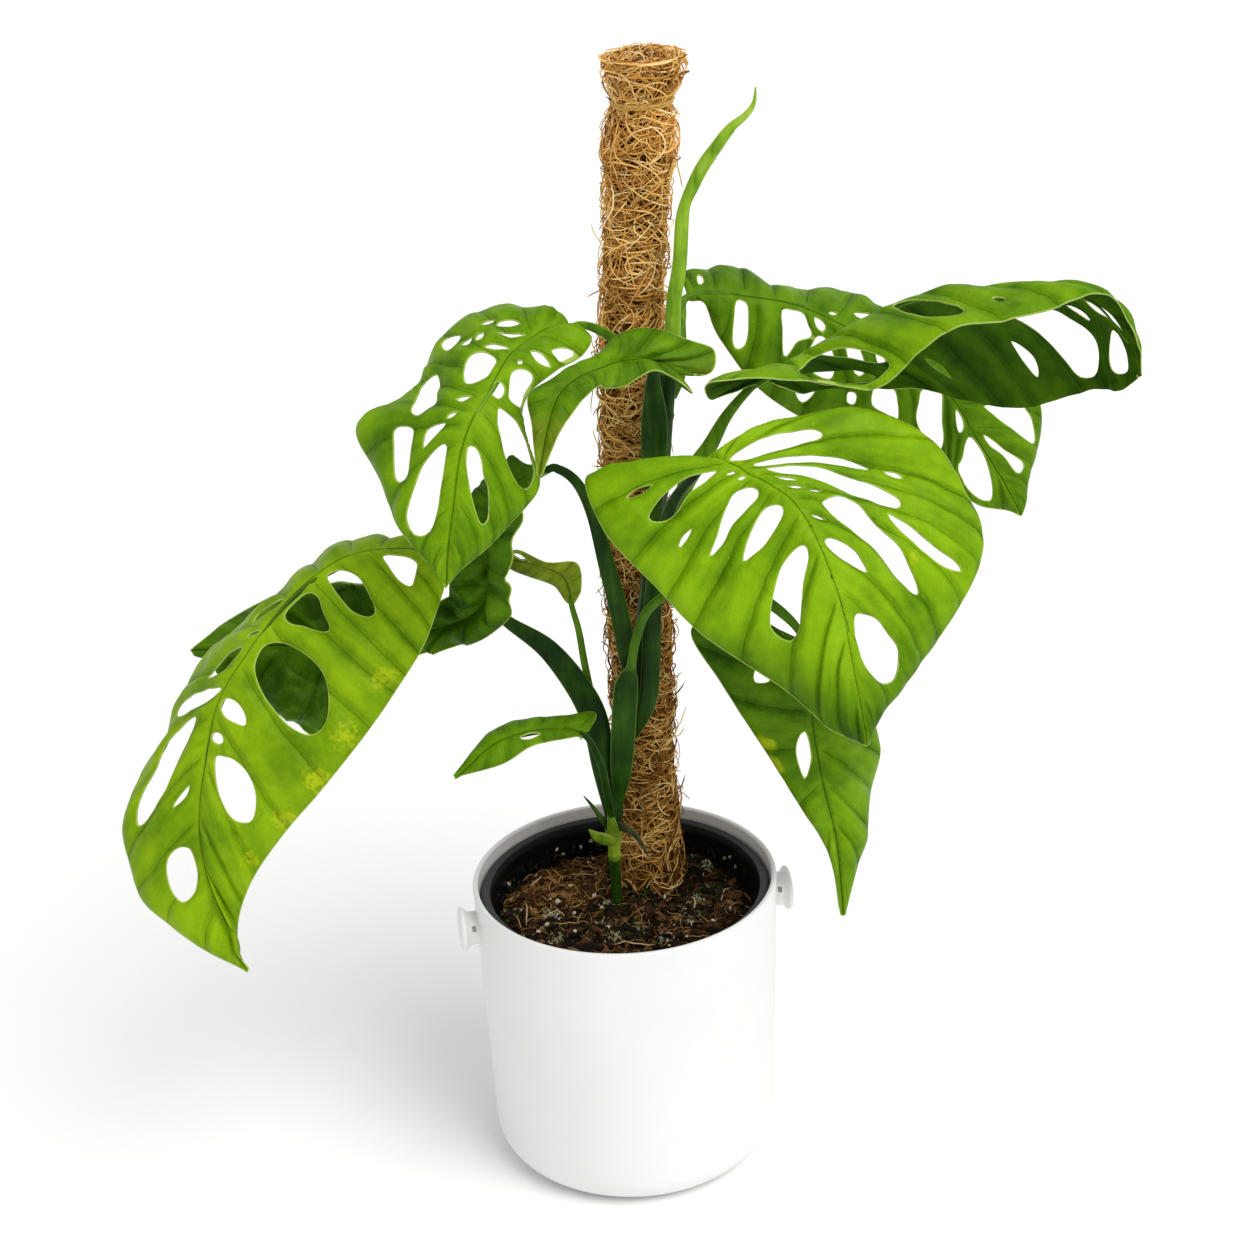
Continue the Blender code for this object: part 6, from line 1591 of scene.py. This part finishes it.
LEAF_LEFT_SMALL = {
    **USUAL_LEAF,
    "vein_gap": 0.6, "quilt": 0.5, "curl": 0.3, "face_size": 1.6, "crown": 2.5, "wave": 1.5,
    "veins": [
        ((-19, -28, 271), (-18, -26, 273), (-15, -23, 274)),
        ((-23, -32, 275), (-23, -28, 276), (-12, -14, 280)),
        ((-33, -40, 278), (-36, -34, 282), (-32, -18, 281)),
        ((-47, -48, 277), (-53, -41, 283), (-54, -24, 281)),
        ((-62, -52, 271), (-68, -47, 279), (-72, -34, 277)),
        ((-84, -53, 266), (-86, -53, 264), (-87, -52, 266)),
    ],
    "windows": [
        ((245, -52), (270, -30), (305, -42), (280, -64)),
    ],
    "petiole": [(-4.5, 0, 203), (-5.5, -6, 212), (-7, -12, 229), (-9, -18, 248), (-13, -24, 264),
                (-18, -26, 273)],
    "sizes": [(1.8, 1.8), (2, 1.8), (2.2, 1.6), (2, 1.5), (1.8, 1.4), (1.6, 1.3)],
}
add_leaf("leaf_left_small", LEAF_LEFT_SMALL, upper_middle, under_deep, stalk_deep)


# Left young leaf: the smallest blade, olive, with one window and still half folded, on a long thin
# stalk from the stem's lowest node.

LEAF_LEFT_YOUNG = {
    **USUAL_LEAF,
    "vein_gap": 0.6, "quilt": 0.3, "curl": 0.3, "face_size": 1.4, "crown": 2, "wave": 1,
    "veins": [
        ((-23, 1, 338), (-21, 0, 338), (-19, -1, 339)),
        ((-27, 3, 344), (-22, 0, 346), (-15, -5, 349)),
        ((-33, 3, 350), (-25, -3, 356), (-17, -6, 364)),
        ((-43, 2, 356), (-37, -4, 363), (-33, -5, 366)),
        ((-51, 2, 358), (-49, -3, 366), (-47, -4, 372)),
        ((-56, 0, 364), (-58, 0, 366), (-56, 0, 368)),
    ],
    "windows": [
        ((340, 30), (365, 25), (420, 70), (385, 72)),
    ],
    "petiole": [(-4, 7, 213), (-7, 9, 233), (-10, 9.5, 255), (-13, 10, 277), (-16, 9, 299),
                (-18, 5, 320), (-21, 0, 338)],
    "sizes": [(1.8, 1.8), (2, 1.8), (2, 1.8), (2, 1.8), (2, 1.8), (1.8, 1.7), (1.5, 1.4)],
}
add_leaf("leaf_left_young", LEAF_LEFT_YOUNG,
         upper_finish("leaf_young_upper", OLIVE), under_bright, stalk_bright)


# Studio: a wide white floor under an even sky, a soft main light from the front right, a weak one
# from overhead, and the camera a little above the plant, looking down at it.

# Half the floor's width, in metres, and how strongly the sky shines.
FLOOR_REACH, SKY_STRENGTH = 60, 0.62

floor_bm = bmesh.new()
bmesh.ops.create_grid(floor_bm, x_segments=2, y_segments=2, size=FLOOR_REACH)
floor_mesh = bpy.data.meshes.new("floor")
floor_bm.to_mesh(floor_mesh)
floor_bm.free()
floor_mesh.materials.append(grained(
    "floor_white", 0.9, (3, 3), [(0.3, (0.955, 0.955, 0.95)), (0.7, (0.97, 0.97, 0.965))],
    Specular_IOR_Level=0.1))
floor = bpy.data.objects.new("floor", floor_mesh)
bpy.context.scene.collection.objects.link(floor)
floor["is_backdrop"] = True

world = bpy.data.worlds.new("studio")
bpy.context.scene.world = world
world.use_nodes = True
sky = world.node_tree.nodes["Background"]
sky.inputs["Color"].default_value = (1, 1, 1, 1)
sky.inputs["Strength"].default_value = SKY_STRENGTH


def sun(name, toward, spread, strength):
    """An even light from one side, the softer the more degrees it spreads over."""
    light = bpy.data.lights.new(name, "SUN")
    light.angle = math.radians(spread)
    light.energy = strength
    lamp = bpy.data.objects.new(name, light)
    lamp.rotation_euler = Vector(toward).to_track_quat("Z", "Y").to_euler()
    bpy.context.scene.collection.objects.link(lamp)


sun("key", toward=(0.75, -0.75, 1.25), spread=38, strength=1.75)
sun("overhead", toward=(0.1, -0.2, 1), spread=60, strength=0.35)

# The camera as fitted to the photograph.
LOOK_DOWN, LOOK_ROLL = math.radians(24.8), math.radians(-2.7)
CAMERA_PLACE, FOCAL_PIXELS, IMAGE_PIXELS = (0.008, -1.2627, 0.9065), 2600, 1254
camera_data = bpy.data.cameras.new("camera")
camera_data.lens = FOCAL_PIXELS / IMAGE_PIXELS * camera_data.sensor_width
camera = bpy.data.objects.new("camera", camera_data)
tilted = Matrix.Rotation(math.pi / 2 - LOOK_DOWN, 4, "X")
rolled = Matrix.Rotation(LOOK_ROLL, 4, "Z")
camera.matrix_world = Matrix.Translation(CAMERA_PLACE) @ tilted @ rolled
bpy.context.scene.collection.objects.link(camera)
bpy.context.scene.camera = camera
bpy.context.scene.view_settings.view_transform = "Standard"

sizes = {"cad": [list(corner) for corner in part_box], "visual": [list(corner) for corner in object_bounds()]}
